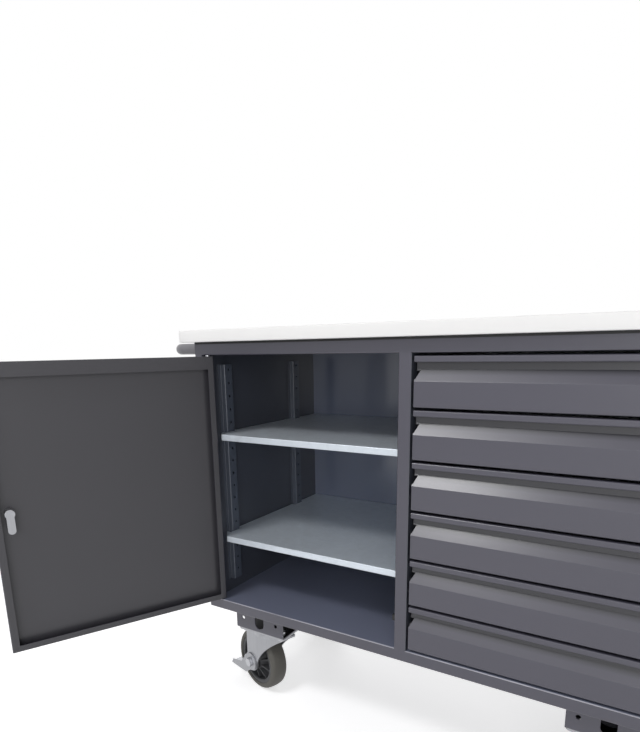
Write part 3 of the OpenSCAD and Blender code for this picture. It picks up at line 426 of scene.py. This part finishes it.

# %% [markdown]
# On a panel with two sides, the faces that look towards one direction get another tone, which is
# painted light where it is paler and painted shade where it is darker. A painted highlight also
# runs along a fold, where Y and Z are both near the fold's own, and a coarse noise breaks that
# highlight into patches.

# %% Painted light, shade and highlight on a panel with two sides
nodes, links, given, result, here = effect_group("painted_light_powder", {
    **POWDER, "Toward": Vector((0.0, 0.0, 1.0)), "Facing Light And Shade": (0.12, 0.13, 0.17, 1.0),
    "Fold Highlight": (0.3, 0.3, 0.34, 1.0), "Fold Y": 0.0, "Fold Z": 0.0, "Fold Width": 0.0})
# Faces turned towards the given direction take the second colour: painted light on the rear wall
# and the base, painted shade on the door's inside.
facing = node(nodes, "ShaderNodeVectorMath", operation="DOT_PRODUCT")
links.new(node(nodes, "ShaderNodeTexCoord").outputs["Normal"], facing.inputs[0])
links.new(given["Toward"], facing.inputs[1])
turned_to = node(nodes, "ShaderNodeMapRange", From_Min=0.6, From_Max=0.95)
links.new(facing.outputs["Value"], turned_to.inputs["Value"])
spot = split(nodes, links, here)
near_y, near_z = (worked_out(nodes, links, "COMPARE", spot[axis_name], given["Fold " + axis_name],
                             given["Fold Width"]) for axis_name in "YZ")
# Near the fold the colour goes to a pale painted highlight, broken into patches by noise.
on_fold = worked_out(nodes, links, "MULTIPLY", near_y, near_z)
fold_highlight = worked_out(nodes, links, "MULTIPLY", on_fold, noise_at(nodes, links, here, per_metre=14.0))
painted = mixed_colour(nodes, links, "MIX", turned_to.outputs["Result"], given["Paint"],
                       given["Facing Light And Shade"])
powder_skin(nodes, links, given, result, here,
            mixed_colour(nodes, links, "MIX", fold_highlight, painted, given["Fold Highlight"]))
print("two-sided powder is built")

# %% [markdown]
# Inside a narrow channel lies deep shade. Between the walls of a channel whose middle lies at one
# of two Y, and above its floor, the colour goes to a near-black painted shade, metallic and without
# coat. This group also puts out two masks: where that painted shade lies, and how much coat lies on
# the sheet.

# %% Painted shade inside a channel
FULL_COAT = 0.5

nodes, links, given, result, here = effect_group("channel_shade_coat", {
    **POWDER, "Channel Shade Paint": (0.012, 0.012, 0.014, 1.0), "Front Channel Y": 0.0,
    "Rear Channel Y": 0.0, "Half Width": 0.02, "Floor Z": 0.0}, masks=("Shaded Inside", "Coat"))
spot = split(nodes, links, here)
in_front, in_rear = (worked_out(nodes, links, "COMPARE", spot["Y"], given[channel],
                                given["Half Width"])
                     for channel in ("Front Channel Y", "Rear Channel Y"))
either = worked_out(nodes, links, "MAXIMUM", in_front, in_rear)
above = worked_out(nodes, links, "GREATER_THAN", spot["Z"], given["Floor Z"])
# Where both hold, the colour is painted shade and the sheet metallic without coat.
shaded_inside = worked_out(nodes, links, "MULTIPLY", either, above)
links.new(shaded_inside, result["Shaded Inside"])
links.new(worked_out(nodes, links, "MULTIPLY_ADD", shaded_inside, -FULL_COAT, FULL_COAT), result["Coat"])
powder_skin(nodes, links, given, result, here,
            mixed_colour(nodes, links, "MIX", shaded_inside, given["Paint"], given["Channel Shade Paint"]))
print("channel coat is built")

# %% [markdown]
# Zinc-plated sheet keeps the streaks of its rolling: each runs a long way in one direction and
# is about a millimetre wide across it. There is a group for each axis, so that a finish only
# has to name its direction.

# %% Drawn sheet
STREAK_THIN = 60.0

for k, direction in enumerate("xyz"):
    nodes, links, given, result, here = effect_group("drawn_sheet_" + direction, {
        "Metal": (0.6, 0.6, 0.62, 1.0), "Roughness": 0.35, "Streak Spread": 1.0,
        "Roughness Spread": 0.15, "Streak Depth": 0.000008})
    along = tuple(1.0 if axis == k else STREAK_THIN for axis in range(3))
    streak = noise_at(nodes, links, here, per_metre=14.0, detail=4.0, stretch=along)
    cloud = noise_at(nodes, links, here, per_metre=9.0)
    toned = shaded(nodes, links, given["Metal"], streak, 0.86, 1.14, given["Streak Spread"])
    links.new(shaded(nodes, links, toned, cloud, 0.92, 1.08, given["Streak Spread"]),
              result["Colour"])
    links.new(rough_from(nodes, links, cloud, given["Roughness"], given["Roughness Spread"]),
              result["Roughness"])
    links.new(bumped(nodes, links, streak, given["Streak Depth"]), result["Normal"])
print("drawn sheet is built along x, y and z")

# %% [markdown]
# Hot-dipped zinc freezes in flat crystals about a centimetre wide, each with its own tone and
# gloss. Noise wanders their borders a little, and the sheet itself has a long, shallow wave.

# %% Spangle
BORDER_WANDER = 0.02

nodes, links, given, result, here = effect_group("spangle", {
    "Metal": (0.4, 0.43, 0.46, 1.0), "Roughness": 0.4, "Crystal Spread": 1.0,
    "Roughness Spread": 0.15, "Crystal Scale": 90.0, "Wave Depth": 0.00002})
wander = node(nodes, "ShaderNodeTexNoise", Scale=60.0)
links.new(here, wander.inputs["Vector"])
cells = node(nodes, "ShaderNodeTexVoronoi")
links.new(mixed_colour(nodes, links, "MIX", BORDER_WANDER, here, wander.outputs["Color"]),
          cells.inputs["Vector"])
links.new(given["Crystal Scale"], cells.inputs["Scale"])
crystal = node(nodes, "ShaderNodeSeparateColor")
links.new(cells.outputs["Color"], crystal.inputs["Color"])
broad = noise_at(nodes, links, here, per_metre=5.0)
toned = shaded(nodes, links, given["Metal"], crystal.outputs["Red"], 0.93, 1.07,
               given["Crystal Spread"])
links.new(shaded(nodes, links, toned, broad, 0.9, 1.1, given["Crystal Spread"]),
          result["Colour"])
links.new(rough_from(nodes, links, crystal.outputs["Green"], given["Roughness"],
                     given["Roughness Spread"]), result["Roughness"])
wave = noise_at(nodes, links, here, per_metre=35.0, stretch=(0.3, 1.0, 1.0))
links.new(bumped(nodes, links, wave, given["Wave Depth"]), result["Normal"])
print("spangle is built")

# %% [markdown]
# Rubber and moulded plastic share a fine matte grain with paler, dusty patches. The laminate of
# the worktop uses the same group with hardly any dust.

# %% Moulded grain
nodes, links, given, result, here = effect_group("moulded_grain", {
    "Body": (0.1, 0.1, 0.1, 1.0), "Roughness": 0.6, "Dust Spread": 1.0, "Roughness Spread": 0.2,
    "Grain Scale": 700.0, "Grain Depth": 0.00003})
dust = noise_at(nodes, links, here, per_metre=25.0, detail=5.0)
fine = noise_at(nodes, links, here, given["Grain Scale"])
links.new(shaded(nodes, links, given["Body"], dust, 0.8, 1.25, given["Dust Spread"]),
          result["Colour"])
links.new(rough_from(nodes, links, dust, given["Roughness"], given["Roughness Spread"]),
          result["Roughness"])
links.new(bumped(nodes, links, fine, given["Grain Depth"]), result["Normal"])
print("effect groups:", sorted(g.name for g in bpy.data.node_groups))

# %% [markdown]
# Each finish is one Principled shader that takes its colour, roughness and normal from one of
# those groups, and its metalness and coat too where the group has masks for them. What is the
# same all over a piece is set on the shader itself.

# %% From effect to finish


def finish(name, effect, colour, roughness, values, metallic=0.0, coat=0.0, coat_roughness=0.1):
    """A material whose Principled shader is fed by an effect group."""
    material, nodes, links = new_material(name)
    shader = nodes["Principled BSDF"]
    for label, value in (("Metallic", metallic), ("Coat Weight", coat),
                         ("Coat Roughness", coat_roughness)):
        shader.inputs[label].default_value = value
    group = nodes.new("ShaderNodeGroup")
    group.node_tree = bpy.data.node_groups[effect]
    group.inputs[0].default_value = (*colour, 1.0)
    group.inputs["Roughness"].default_value = roughness
    for label, value in values.items():
        group.inputs[label].default_value = value
    for output, entry in (("Colour", "Base Color"), ("Roughness", "Roughness"),
                          ("Normal", "Normal"), ("Shaded Inside", "Metallic"), ("Coat", "Coat Weight")):
        if output in group.outputs:
            links.new(group.outputs[output], shader.inputs[entry])
    return material


# %% [markdown]
# Most of the bench has one anthracite paint, which carries painted shade in the drawers' grips and
# inside the channels under the base, painted light and shade on faces that look one way, and a
# painted highlight along the base's front fold. The rear wall and the base's upper face are paler
# with painted light, and the door's inside is darker with painted shade. The inner liners take a
# slightly darker copy of the paint as painted shade, the uprights are a shade bluer, and the push
# handle is grey.

# %% Painted finishes
ANTHRACITE = (0.06, 0.058, 0.08)
SATIN = {"coat": 0.5, "coat_roughness": 0.26}
# The caster brackets are channels of this depth from front to back and sheet thickness. A face
# counts as inside where it lies nine tenths of a sheet in from the outer one.
BRACKET_D, BRACKET_T = 0.118, 0.003
BRACKET_SKIN = 0.9 * BRACKET_T

body_paint = finish("anthracite_powder_coat", "powder_skin", ANTHRACITE, 0.4, {}, **SATIN)
# The rear wall's faces that look to the front get a paler, bluer painted light.
rear_paint = finish("rear_wall_coat", "painted_light_powder", ANTHRACITE, 0.32, {
    "Toward": Vector((0.0, -1.0, 0.0)), "Facing Light And Shade": (0.145, 0.165, 0.23, 1.0)},
    coat=0.9, coat_roughness=0.12)
# The drawer fronts take that near-black painted shade deep in their grips.
front_paint = finish("drawer_front_coat", "grip_recess_shade", ANTHRACITE, 0.4, {
    "Face Y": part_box("drawer_1_front")[0].y, "Recess Shade Paint": (0.016, 0.016, 0.022, 1.0)},
    coat=0.5, coat_roughness=0.25)
base_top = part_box("base_panel")[1][2]
# The base's upper face gets a paler, bluer painted light, and its front fold a painted highlight.
base_paint = finish("base_panel_coat", "painted_light_powder", ANTHRACITE, 0.4, {
    "Facing Light And Shade": (0.165, 0.18, 0.25, 1.0), "Fold Highlight": (0.6, 0.6, 0.66, 1.0),
    "Fold Y": body_corner.y, "Fold Z": base_top, "Fold Width": 0.0017}, **SATIN)
bracket_low, bracket_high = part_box("caster_brackets")
# The caster brackets take a near-black painted shade inside their channels.
bracket_paint = finish("caster_bracket_coat", "channel_shade_coat", ANTHRACITE, 0.4, {
    "Front Channel Y": bracket_low.y + BRACKET_D / 2,
    "Rear Channel Y": bracket_high.y - BRACKET_D / 2,
    "Half Width": BRACKET_D / 2 - BRACKET_SKIN, "Floor Z": bracket_low.z + BRACKET_SKIN}, **SATIN)
# The liners take a slightly darker copy of the anthracite, painted shade for the inside of the
# cupboard.
shaded_inner_paint = finish("inner_powder_coat", "powder_skin", (0.052, 0.057, 0.073), 0.36, {},
                     coat=0.5, coat_roughness=0.14)
upright_paint = finish("upright_powder_coat", "powder_skin", (0.068, 0.079, 0.104), 0.36, {},
                       coat=0.35, coat_roughness=0.2)
# Closed, the door's inside looks along +Y. It stands open by the upper limit of its joint.
door_turn = math.radians(joint_of["door_swing"]["range_deg"][1])
door_inside = Vector((math.sin(door_turn), math.cos(door_turn), 0.0))
# The door's inside gets a darker painted shade.
door_paint = finish("door_powder_coat", "painted_light_powder", ANTHRACITE, 0.42, {
    "Toward": door_inside, "Facing Light And Shade": (0.037, 0.036, 0.043, 1.0)},
    coat=0.25, coat_roughness=0.25)
handle_paint = finish("grey_powder_coat", "powder_skin", (0.175, 0.172, 0.188), 0.4, {}, coat=0.1)
print("the open door's inside looks along", [round(v, 2) for v in door_inside])

# %% [markdown]
# Bare metal, laminate, rubber and plastic follow. Sheet and bolts are zinc-plated, and the
# shelves are hot-dipped.

# %% Metal, laminate, rubber and plastic finishes
shelf_metal = finish("galvanised_sheet", "spangle", (0.655, 0.71, 0.77), 0.42,
                     {"Crystal Spread": 0.4}, metallic=0.5)
zinc = {d: finish("zinc_sheet_" + d, "drawn_sheet_" + d, (0.36, 0.365, 0.385), 0.36, {},
                  metallic=0.85) for d in "xyz"}
bolt_zinc = finish("zinc_bolts", "drawn_sheet_z", (0.5, 0.505, 0.53), 0.3, {}, metallic=0.95)
board = finish("worktop_laminate", "moulded_grain", (0.88, 0.875, 0.865), 0.42, {
    "Dust Spread": 0.06, "Roughness Spread": 0.08, "Grain Scale": 500.0})
board_edge = finish("worktop_edge_band", "moulded_grain", (0.86, 0.855, 0.85), 0.36, {
    "Dust Spread": 0.05, "Roughness Spread": 0.06})
rubber = finish("grey_rubber", "moulded_grain", (0.085, 0.081, 0.072), 0.62, {})
wheel_nylon = finish("wheel_nylon", "moulded_grain", (0.045, 0.046, 0.05), 0.5, {
    "Grain Scale": 400.0})
black_rubber = finish("black_rubber", "moulded_grain", (0.014, 0.014, 0.015), 0.6, {})
black_plastic = finish("black_plastic", "moulded_grain", (0.016, 0.016, 0.018), 0.42, {
    "Grain Depth": 0.00002})
print("zinc-plated sheet is drawn along", ", ".join(zinc))

# %% [markdown]
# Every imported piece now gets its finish. Its mesh is left alone.

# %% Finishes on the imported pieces


def paint_nodes(material, *names):
    """Puts one material on CAD nodes, which keep their meshes."""
    for name in names:
        slots = frame["nodes"][name].data.materials
        slots.clear()
        slots.append(material)


drawer_numbers = range(1, 7)
wheels = ("front_left", "rear_left", "front_right", "rear_right")
paint_nodes(base_paint, "base_panel")
paint_nodes(body_paint, "top_panel", "left_side_panel", "right_side_panel", "middle_panel")
paint_nodes(front_paint, *(f"drawer_{n}_front" for n in drawer_numbers))
paint_nodes(bracket_paint, "caster_brackets")
paint_nodes(shaded_inner_paint, "left_side_liner", "right_side_liner", "middle_liner")
paint_nodes(rear_paint, "back_panel")
paint_nodes(upright_paint, "left_uprights", "right_uprights")
paint_nodes(door_paint, "door_panel")
paint_nodes(handle_paint, "push_handle")
paint_nodes(shelf_metal, "upper_shelf", "lower_shelf")
paint_nodes(zinc["y"], "drawer_runners", *(f"drawer_{n}_box" for n in drawer_numbers))
paint_nodes(zinc["z"], "front_swivel_fork", "rear_swivel_fork", "fixed_forks",
            "front_swivel_plate", "rear_swivel_plate", "lock_cam", "lock_housing")
paint_nodes(zinc["x"], "front_brake_pedal", "rear_brake_pedal", "shelf_clips")
paint_nodes(bolt_zinc, "worktop_screws", "push_handle_screws", "hinge_pins", "bracket_screws",
            "caster_bolts", "front_swivel_axle", "rear_swivel_axle", "fixed_axles")
paint_nodes(board, "worktop")
paint_nodes(black_rubber, "door_buffer")
paint_nodes(black_plastic, "lock_knob")
paint_nodes(wheel_nylon, *(w + "_wheel_core" for w in wheels))
paint_nodes(rubber, *(w + "_tyre" for w in wheels))
print("packed pieces with a finish:", len(frame["nodes"]))

# %% [markdown]
# The worktop is a board with a laminate face and a band glued round its edge. Both follow one
# outline, a rectangle with rounded corners, stacked in rings whose inset gives the small
# round-over at the top and bottom edges.

# %% Worktop board and edge band
BAND_T = 0.0012
EDGE_ROUND = 0.0015
CORNER_R = 0.008


def plan_rings(low, high, corner_r, levels, steps=10):
    """Rings of the rectangle low to high with corners of radius corner_r: each level is a pair
    (z, inset), and its ring is the outline moved inwards by the inset at the height z."""
    rings = []
    for z, inset in levels:
        a, b = low[:2] + inset, high[:2] - inset
        corners = [(a[0], a[1]), (b[0], a[1]), (b[0], b[1]), (a[0], b[1])]
        outline = rounded(corners, corner_r - inset, steps)
        rings.append(np.column_stack([outline, np.full(len(outline), z)]))
    return np.array(rings)


def round_over(z0, z1, radius, steps=5):
    """Levels from z0 to z1 whose insets follow a quarter circle at both ends."""
    t = np.linspace(0, np.pi / 2, steps)
    foot = [(z0 + radius * (1 - math.cos(a)), radius * (1 - math.sin(a))) for a in t]
    return foot + [(z0 + z1 - z, inset) for z, inset in reversed(foot)]


def capped_faces(n):
    """The faces between two rings of n points each, with one face on either end."""
    return grid_faces(2, n, False, True) + [list(range(n))[::-1], list(range(n, 2 * n))]


low, high = (np.array(v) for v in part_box("worktop"))
band_levels = round_over(low[2], high[2], EDGE_ROUND)
outer = plan_rings(low, high, CORNER_R, band_levels)
inner = plan_rings(low, high, CORNER_R, [(z, BAND_T) for z, _ in reversed(band_levels)])
rings = np.concatenate([outer, inner])
worktop_band = mesh_piece("worktop_band", rings,
                          grid_faces(len(rings), rings.shape[1], True, True))
rings = plan_rings(low, high, CORNER_R, [(low[2], BAND_T), (high[2], BAND_T)])
worktop_board = mesh_piece("worktop_board", rings, capped_faces(rings.shape[1]), smooth=False)
for piece, material in ((worktop_band, board_edge), (worktop_board, board)):
    piece.data.materials.append(material)
    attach(piece, "carcass")
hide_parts("worktop")
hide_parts("worktop")
print("worktop:", len(worktop_band.data.polygons) + len(worktop_board.data.polygons), "faces")

# %% [markdown]
# A dark line runs between the worktop and the rail, the shade of a narrow gap, and a thin black
# strip stands in for it as painted shade. It is a ring round the rail's upper edge, a hair proud of
# the paint, and it reaches a little into the board so that no light passes between the two.

# %% Painted shadow line under the worktop
SHADE_LINE_H, SHADE_LINE_PROUD, SHADE_LINE_T = 0.0045, 0.00015, 0.0010
SHADE_LINE_IN_BOARD = 0.0002
RAIL_BEND_R = 0.0025

rail_low, rail_high = (np.array(v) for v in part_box("top_panel"))
shade_line_foot, shade_line_top = rail_high[2] - SHADE_LINE_H, rail_high[2] + SHADE_LINE_IN_BOARD
levels = [(shade_line_foot, -SHADE_LINE_PROUD), (shade_line_top, -SHADE_LINE_PROUD), (shade_line_top, SHADE_LINE_T),
          (shade_line_foot, SHADE_LINE_T)]
rings = plan_rings(rail_low, rail_high, RAIL_BEND_R, levels, steps=4)
worktop_shade_line = mesh_piece("worktop_shade_line", rings,
                          grid_faces(len(rings), rings.shape[1], True, True), smooth=False)
# The strip is black, a painted shadow in the gap's place.
worktop_shade_line.data.materials.append(black_rubber)
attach(worktop_shade_line, "carcass")
print("tape:", len(worktop_shade_line.data.polygons), "faces,", round(SHADE_LINE_H * 1000, 1), "mm high")

# %% [markdown]
# A shelf is one galvanised sheet with its four edges folded down. The flat plate is a prism on
# an outline, and every folded edge is the same section carried straight along its edge. Along
# the front the section turns back inwards once more, which is the hem.

# %% Folded edges
SHEET_T, FOLD_OUT, LIP_H, HEM = 0.001, 0.0017, 0.0142, 0.009
UP = np.array((0.0, 0.0, 1.0))


def prism(start, end, first_ring, last_ring):
    """Rings of the same count at both ends, joined by one strip of faces, with a cap on each."""
    points = np.concatenate([start + first_ring, end + last_ring])
    faces = capped_faces(len(first_ring))
    return points, faces if volume(points, faces) > 0 else [f[::-1] for f in faces]


def lip_section(hem):
    """Section (d, z) of a folded edge, d inwards from the edge and z up from the sheet's top: a
    quarter circle of radius FOLD_OUT, a flank of LIP_H, and where hem > 0 a return of that
    width."""
    t = np.linspace(0, np.pi / 2, ARC_STEPS)
    bend_in = FOLD_OUT - SHEET_T
    outer = np.column_stack([FOLD_OUT * (1 - np.sin(t)), FOLD_OUT * (np.cos(t) - 1)])
    inner = np.column_stack([FOLD_OUT - bend_in * np.sin(t), -FOLD_OUT + bend_in * np.cos(t)])
    if hem > 0:
        foot = outer[::-1] * (1, -1) + (0, -LIP_H)
        foot_in = inner[::-1] * (1, -1) + (0, -LIP_H)
        end = np.array([(hem, -LIP_H), (hem, -LIP_H + SHEET_T)])
        return np.concatenate([outer, foot, end, foot_in[::-1], inner[::-1]])
    return np.concatenate([outer, [(0, -LIP_H), (SHEET_T, -LIP_H)], inner[::-1]])


def lip_run(a, b, inward, top, hem=0.0):
    """The lip section carried from a to b: its point (d, z) lies at a + d * inward + z * up."""
    section = lip_section(hem)
    ring = section[:, :1] * np.array([*inward, 0.0]) + section[:, 1:] * UP
    return prism(np.array([*a, top]), np.array([*b, top]), ring, ring)


print("front edge's section has", len(lip_section(HEM)), "points, the others", len(lip_section(0)))

# %% [markdown]
# The outline goes round the four uprights, which stand a little into the shelf, and the left
# front corner is cut off beside the door. The side edges are folded only between the cut-outs.

# %% Shelves
CUT_X, CUT_Y = 0.024, 0.030
UPRIGHT_W, UPRIGHT_GAP, NOTCH = 0.043, 0.0015, 0.0125


def shelf_parts(low, high, post_low, post_high):
    """Plate and lips of one shelf whose outer box is low to high, between uprights that stand
    from post_low to post_high along Y."""
    (x0, y0), (x1, y1), top = low[:2], high[:2], high[2]
    r = FOLD_OUT
    notches = [(post_low - UPRIGHT_GAP, post_low + UPRIGHT_W + UPRIGHT_GAP),
               (post_high - UPRIGHT_W - UPRIGHT_GAP, post_high + UPRIGHT_GAP)]
    right = [(x1 - r, y0 + r)]
    left = []
    for a, b in notches:
        right += [(x1 - r, a), (x1 - NOTCH, a), (x1 - NOTCH, b), (x1 - r, b)]
        left += [(x0 + r, a), (x0 + NOTCH, a), (x0 + NOTCH, b), (x0 + r, b)]
    cut_a = (x0 + CUT_X * (1 - r / CUT_Y), y0 + r)
    cut_b = (x0 + r, y0 + CUT_Y * (1 - r / CUT_X))
    outline = [cut_a] + right + [(x1 - r, y1 - r), (x0 + r, y1 - r)] + left[::-1] + [cut_b]
    ring = np.column_stack([np.array(outline), np.zeros(len(outline))])
    parts = [prism((top - SHEET_T) * UP, top * UP, ring, ring),
             lip_run((x0 + CUT_X, y0), (x1, y0), (0, 1), top, HEM),
             lip_run((x0 + r, y1), (x1 - r, y1), (0, -1), top)]
    for x, inward, front in ((x0, (1, 0), y0 + CUT_Y), (x1, (-1, 0), y0 + r)):
        stops = [front, *notches[0], *notches[1], y1 - r]
        parts += [lip_run((x, a), (x, b), inward, top)
                  for a, b in zip(stops[::2], stops[1::2]) if b - a > r]
    return parts


post_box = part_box("left_uprights")
for label in ("upper_shelf", "lower_shelf"):
    low, high = (np.array(v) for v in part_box(label))
    points, faces = [], []
    for part_points, part_faces in shelf_parts(low, high, post_box[0][1], post_box[1][1]):
        faces += [[i + len(points) for i in f] for f in part_faces]
        points += part_points.tolist()
    shelf = mesh_piece(label + "_sheet", points, faces, smooth=False)
    shelf.data.materials.append(shelf_metal)
    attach(shelf, "carcass")
    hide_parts(label)
    print(label, "in", len(faces), "faces, volume",
          round(volume(np.array(points), faces) * 1e6, 1), "cm3")

# %% [markdown]
# Each tyre is moulded with a crowned tread, round shoulders and a bead that grips the wheel
# body's rim. One section serves all four, turned round each wheel's axle.

# %% Tyres
WHEEL_R, TYRE_T, WHEEL_W = 0.080, 0.016, 0.044
TREAD_CLEAR, CROWN_DROP, SHOULDER_R = 0.0002, 0.0010, 0.010
FLANK_BOW, BEAD_H = 0.0008, 0.0015
# The bead's two corners: how far in from the flank, and how far out from the rim.
BEAD_CORNERS = ((0.0004, 0.0006), (0.0014, 0.0))


def tyre_profile():
    """Closed section (a, r): the crown is r = R - (a / a0)^2 * CROWN_DROP, the shoulders are
    arcs of SHOULDER_R, the flanks bow inwards by FLANK_BOW and end in beads of BEAD_H."""
    half = WHEEL_W / 2
    crown_half = half - SHOULDER_R
    a = np.linspace(-crown_half, crown_half, 9)
    crown = np.column_stack([a, WHEEL_R - TREAD_CLEAR - (a / crown_half) ** 2 * CROWN_DROP])
    edge_r = crown[0, 1]
    t = np.linspace(0, np.pi / 2, 8)[1:]
    right = np.column_stack([crown_half + SHOULDER_R * np.sin(t),
                             edge_r - SHOULDER_R + SHOULDER_R * np.cos(t)])
    foot = WHEEL_R - TYRE_T
    s = np.linspace(0, 1, 6)[1:]
    flank_r = right[-1, 1] + (foot + BEAD_H - right[-1, 1]) * s
    flank = np.column_stack([half - FLANK_BOW * np.sin(np.pi * s), flank_r])
    bead = np.array([(half - inset, foot + rise) for inset, rise in BEAD_CORNERS])
    side = np.concatenate([right, flank, bead])
    return np.concatenate([crown, side, side[::-1] * (-1, 1)])


def add_tyre(wheel, centre, axis):
    """Turns the tyre's section round the wheel's axle, in place of the plain tyre."""
    tyre = turned(wheel + "_tread", tyre_profile(), centre, axis, steps=120)
    tyre.data.materials.append(rubber)
    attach(tyre, wheel + "_wheel")
    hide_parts(wheel + "_tyre")


print("tyre section:", len(tyre_profile()), "points")

# %% [markdown]
# The wheel body gets ten ribs a side between hub and rim, as a moulded wheel needs to stay
# stiff with a thin web. They lie on both faces of the web and are sunk a little into it and
# into the hub.

# %% Wheel ribs
HUB_R, WEB_T = 0.020, 0.010
RIBS, RIB_T, RIB_SINK = 10, 0.0028, 0.001
# A rib ends at this radius, and reaches this far out from the wheel's middle at either end.
RIB_END_R, RIB_END_A, RIB_HUB_A = 0.054, 0.014, 0.024
RIB_OUTLINE = ((HUB_R - RIB_SINK, WEB_T / 2 - RIB_SINK), (RIB_END_R, WEB_T / 2 - RIB_SINK),
               (RIB_END_R, RIB_END_A), (HUB_R - RIB_SINK, RIB_HUB_A))
# Four corners round one end of a block, then the same four at its other end.
BLOCK_FACES = ((0, 3, 2, 1), (4, 5, 6, 7), (0, 1, 5, 4), (1, 2, 6, 5), (2, 3, 7, 6), (3, 0, 4, 7))


def add_ribs(wheel, centre, axis):
    """Rib k points along cos t * up + sin t * level at t = 2 pi k / RIBS, on either side of the
    web, and its outline (r, a) is RIB_T thick."""
    level = np.cross(axis, UP)
    points, faces = [], []
    for k in range(RIBS):
        turn = 2 * np.pi * k / RIBS
        out = math.cos(turn) * UP + math.sin(turn) * level
        across = np.cross(axis, out)
        for side in (-1, 1):
            first = len(points)
            points += [centre + r * out + side * a * axis + b * across
                       for b in (-RIB_T / 2, RIB_T / 2) for r, a in RIB_OUTLINE]
            faces += [[first + i for i in f[::side]] for f in BLOCK_FACES]
    ribs = mesh_piece(wheel + "_ribs", points, faces, smooth=False)
    ribs.data.materials.append(wheel_nylon)
    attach(ribs, wheel + "_wheel")


print("ribs on each wheel:", 2 * RIBS)

# %% [markdown]
# A plastic guard on each end of the hub keeps threads away from the bearing. Its section starts
# at the hub's end face and wraps over the hub's outer edge.

# %% Thread guards, and all pieces of the four wheels
HUB_W = 0.062
# The section's corners: how deep behind the hub's end face, and how far from the axle.
GUARD_SECTION = ((0.0002, 0.0125), (0.0002, 0.0225), (0.0012, 0.0235), (0.0060, 0.0240),
                 (0.0060, 0.0205), (0.0012, 0.0195), (0.0012, 0.0125))


def add_guards(wheel, centre, axis):
    """Turns the guard's section round the axle at the inner and the outer end of the hub."""
    for side, label in ((-1, "inner"), (1, "outer")):
        end_face = side * (HUB_W / 2)
        guard_profile = [(end_face - side * deep, r) for deep, r in GUARD_SECTION]
        guard = turned(f"{wheel}_{label}_thread_guard", guard_profile, centre, axis, steps=48)
        guard.data.materials.append(black_plastic)
        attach(guard, wheel + "_wheel")


for wheel in wheels:
    spin = joint_of[wheel + "_wheel_spin"]
    centre, axis = np.array(spin["pos_m"]), np.array(spin["axis"], float)
    axis /= np.linalg.norm(axis)
    for add_pieces in (add_tyre, add_ribs, add_guards):
        add_pieces(wheel, centre, axis)
print("tyres, ribs and guards on", len(wheels), "wheels")

# %% [markdown]
# The rail, the posts and the base are welded and ground flush before the paint goes on, so no
# seam shows on the face. A thin filled patch covers each joint. It lies in the face's plane and
# reaches over the two folds that would otherwise leave a dark groove.

# %% Ground weld joints
PATCH_PROUD, PATCH_DEEP, FOLD_REACH = 0.00008, 0.0011, 0.0032
# How far a patch stops short of the post's left and right sides.
PATCH_LEFT, PATCH_RIGHT = 0.0008, 0.0002

rail_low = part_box("top_panel")[0]
base_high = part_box("base_panel")[1]
posts = [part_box(name) for name in ("left_side_panel", "middle_panel", "right_side_panel")]
points, faces = [], []
for post_low, post_high in posts:
    x0, x1 = post_low[0] + PATCH_LEFT, post_high[0] - PATCH_RIGHT
    for joint_z in (rail_low[2], base_high[2]):
        z0, z1 = joint_z - FOLD_REACH, joint_z + FOLD_REACH
        faces += [[len(points) + i for i in f] for f in BLOCK_FACES]
        for y in (rail_low[1] - PATCH_PROUD, rail_low[1] + PATCH_DEEP):
            points += [(x0, y, z0), (x1, y, z0), (x1, y, z1), (x0, y, z1)]
weld_patches = mesh_piece("ground_welds", points, faces, smooth=False)
weld_patches.data.materials.append(body_paint)
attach(weld_patches, "carcass")
print("ground welds:", len(points) // 8)

# %% [markdown]
# Between the turning cup and the mounting plate of a swivel caster sits a rubber seal, and the
# pedal's two cheeks are each pressed out to a low round rim about the axle.

# %% Caster seals and pedal rims
# The seal's corners: height over its upper face, and distance from the kingpin.
SEAL_SECTION = ((0.0, 0.0421), (0.0, 0.0500), (-0.0022, 0.0506), (-0.0030, 0.0500),
                (-0.0030, 0.0421))
SEAL_BELOW_SWIVEL = 0.005
PEDAL_IN, PEDAL_T = 0.0364, 0.003
RIM_R, RIM_HALF_W, RIM_HALF_H = 0.0205, 0.0014, 0.0002

casters = ("front", "rear")
for caster in casters:
    swivel = np.array(joint_of[caster + "_swivel"]["pos_m"])
    seal_middle = (swivel[0], swivel[1], swivel[2] - SEAL_BELOW_SWIVEL)
    seal = turned(caster + "_race_seal", SEAL_SECTION, seal_middle, (0, 0, 1), 72)
    seal.data.materials.append(black_rubber)
    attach(seal, "carcass")

    brake = joint_of[caster + "_brake_press"]
    centre, axis = np.array(brake["pos_m"]), np.array(brake["axis"], float)
    t = np.linspace(0, 2 * np.pi, 12, endpoint=False)
    for side, label in ((-1, "inner"), (1, "outer")):
        cheek = side * (PEDAL_IN + PEDAL_T)
        rim_profile = np.column_stack([cheek + side * RIM_HALF_H * np.cos(t),
                                       RIM_R + RIM_HALF_W * np.sin(t)])
        rim = turned(f"{caster}_{label}_pedal_rim", rim_profile, centre, axis, 72)
        rim.data.materials.append(zinc["z"])
        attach(rim, caster + "_brake")
print("swivel casters with a seal and pedal rims:", len(casters))
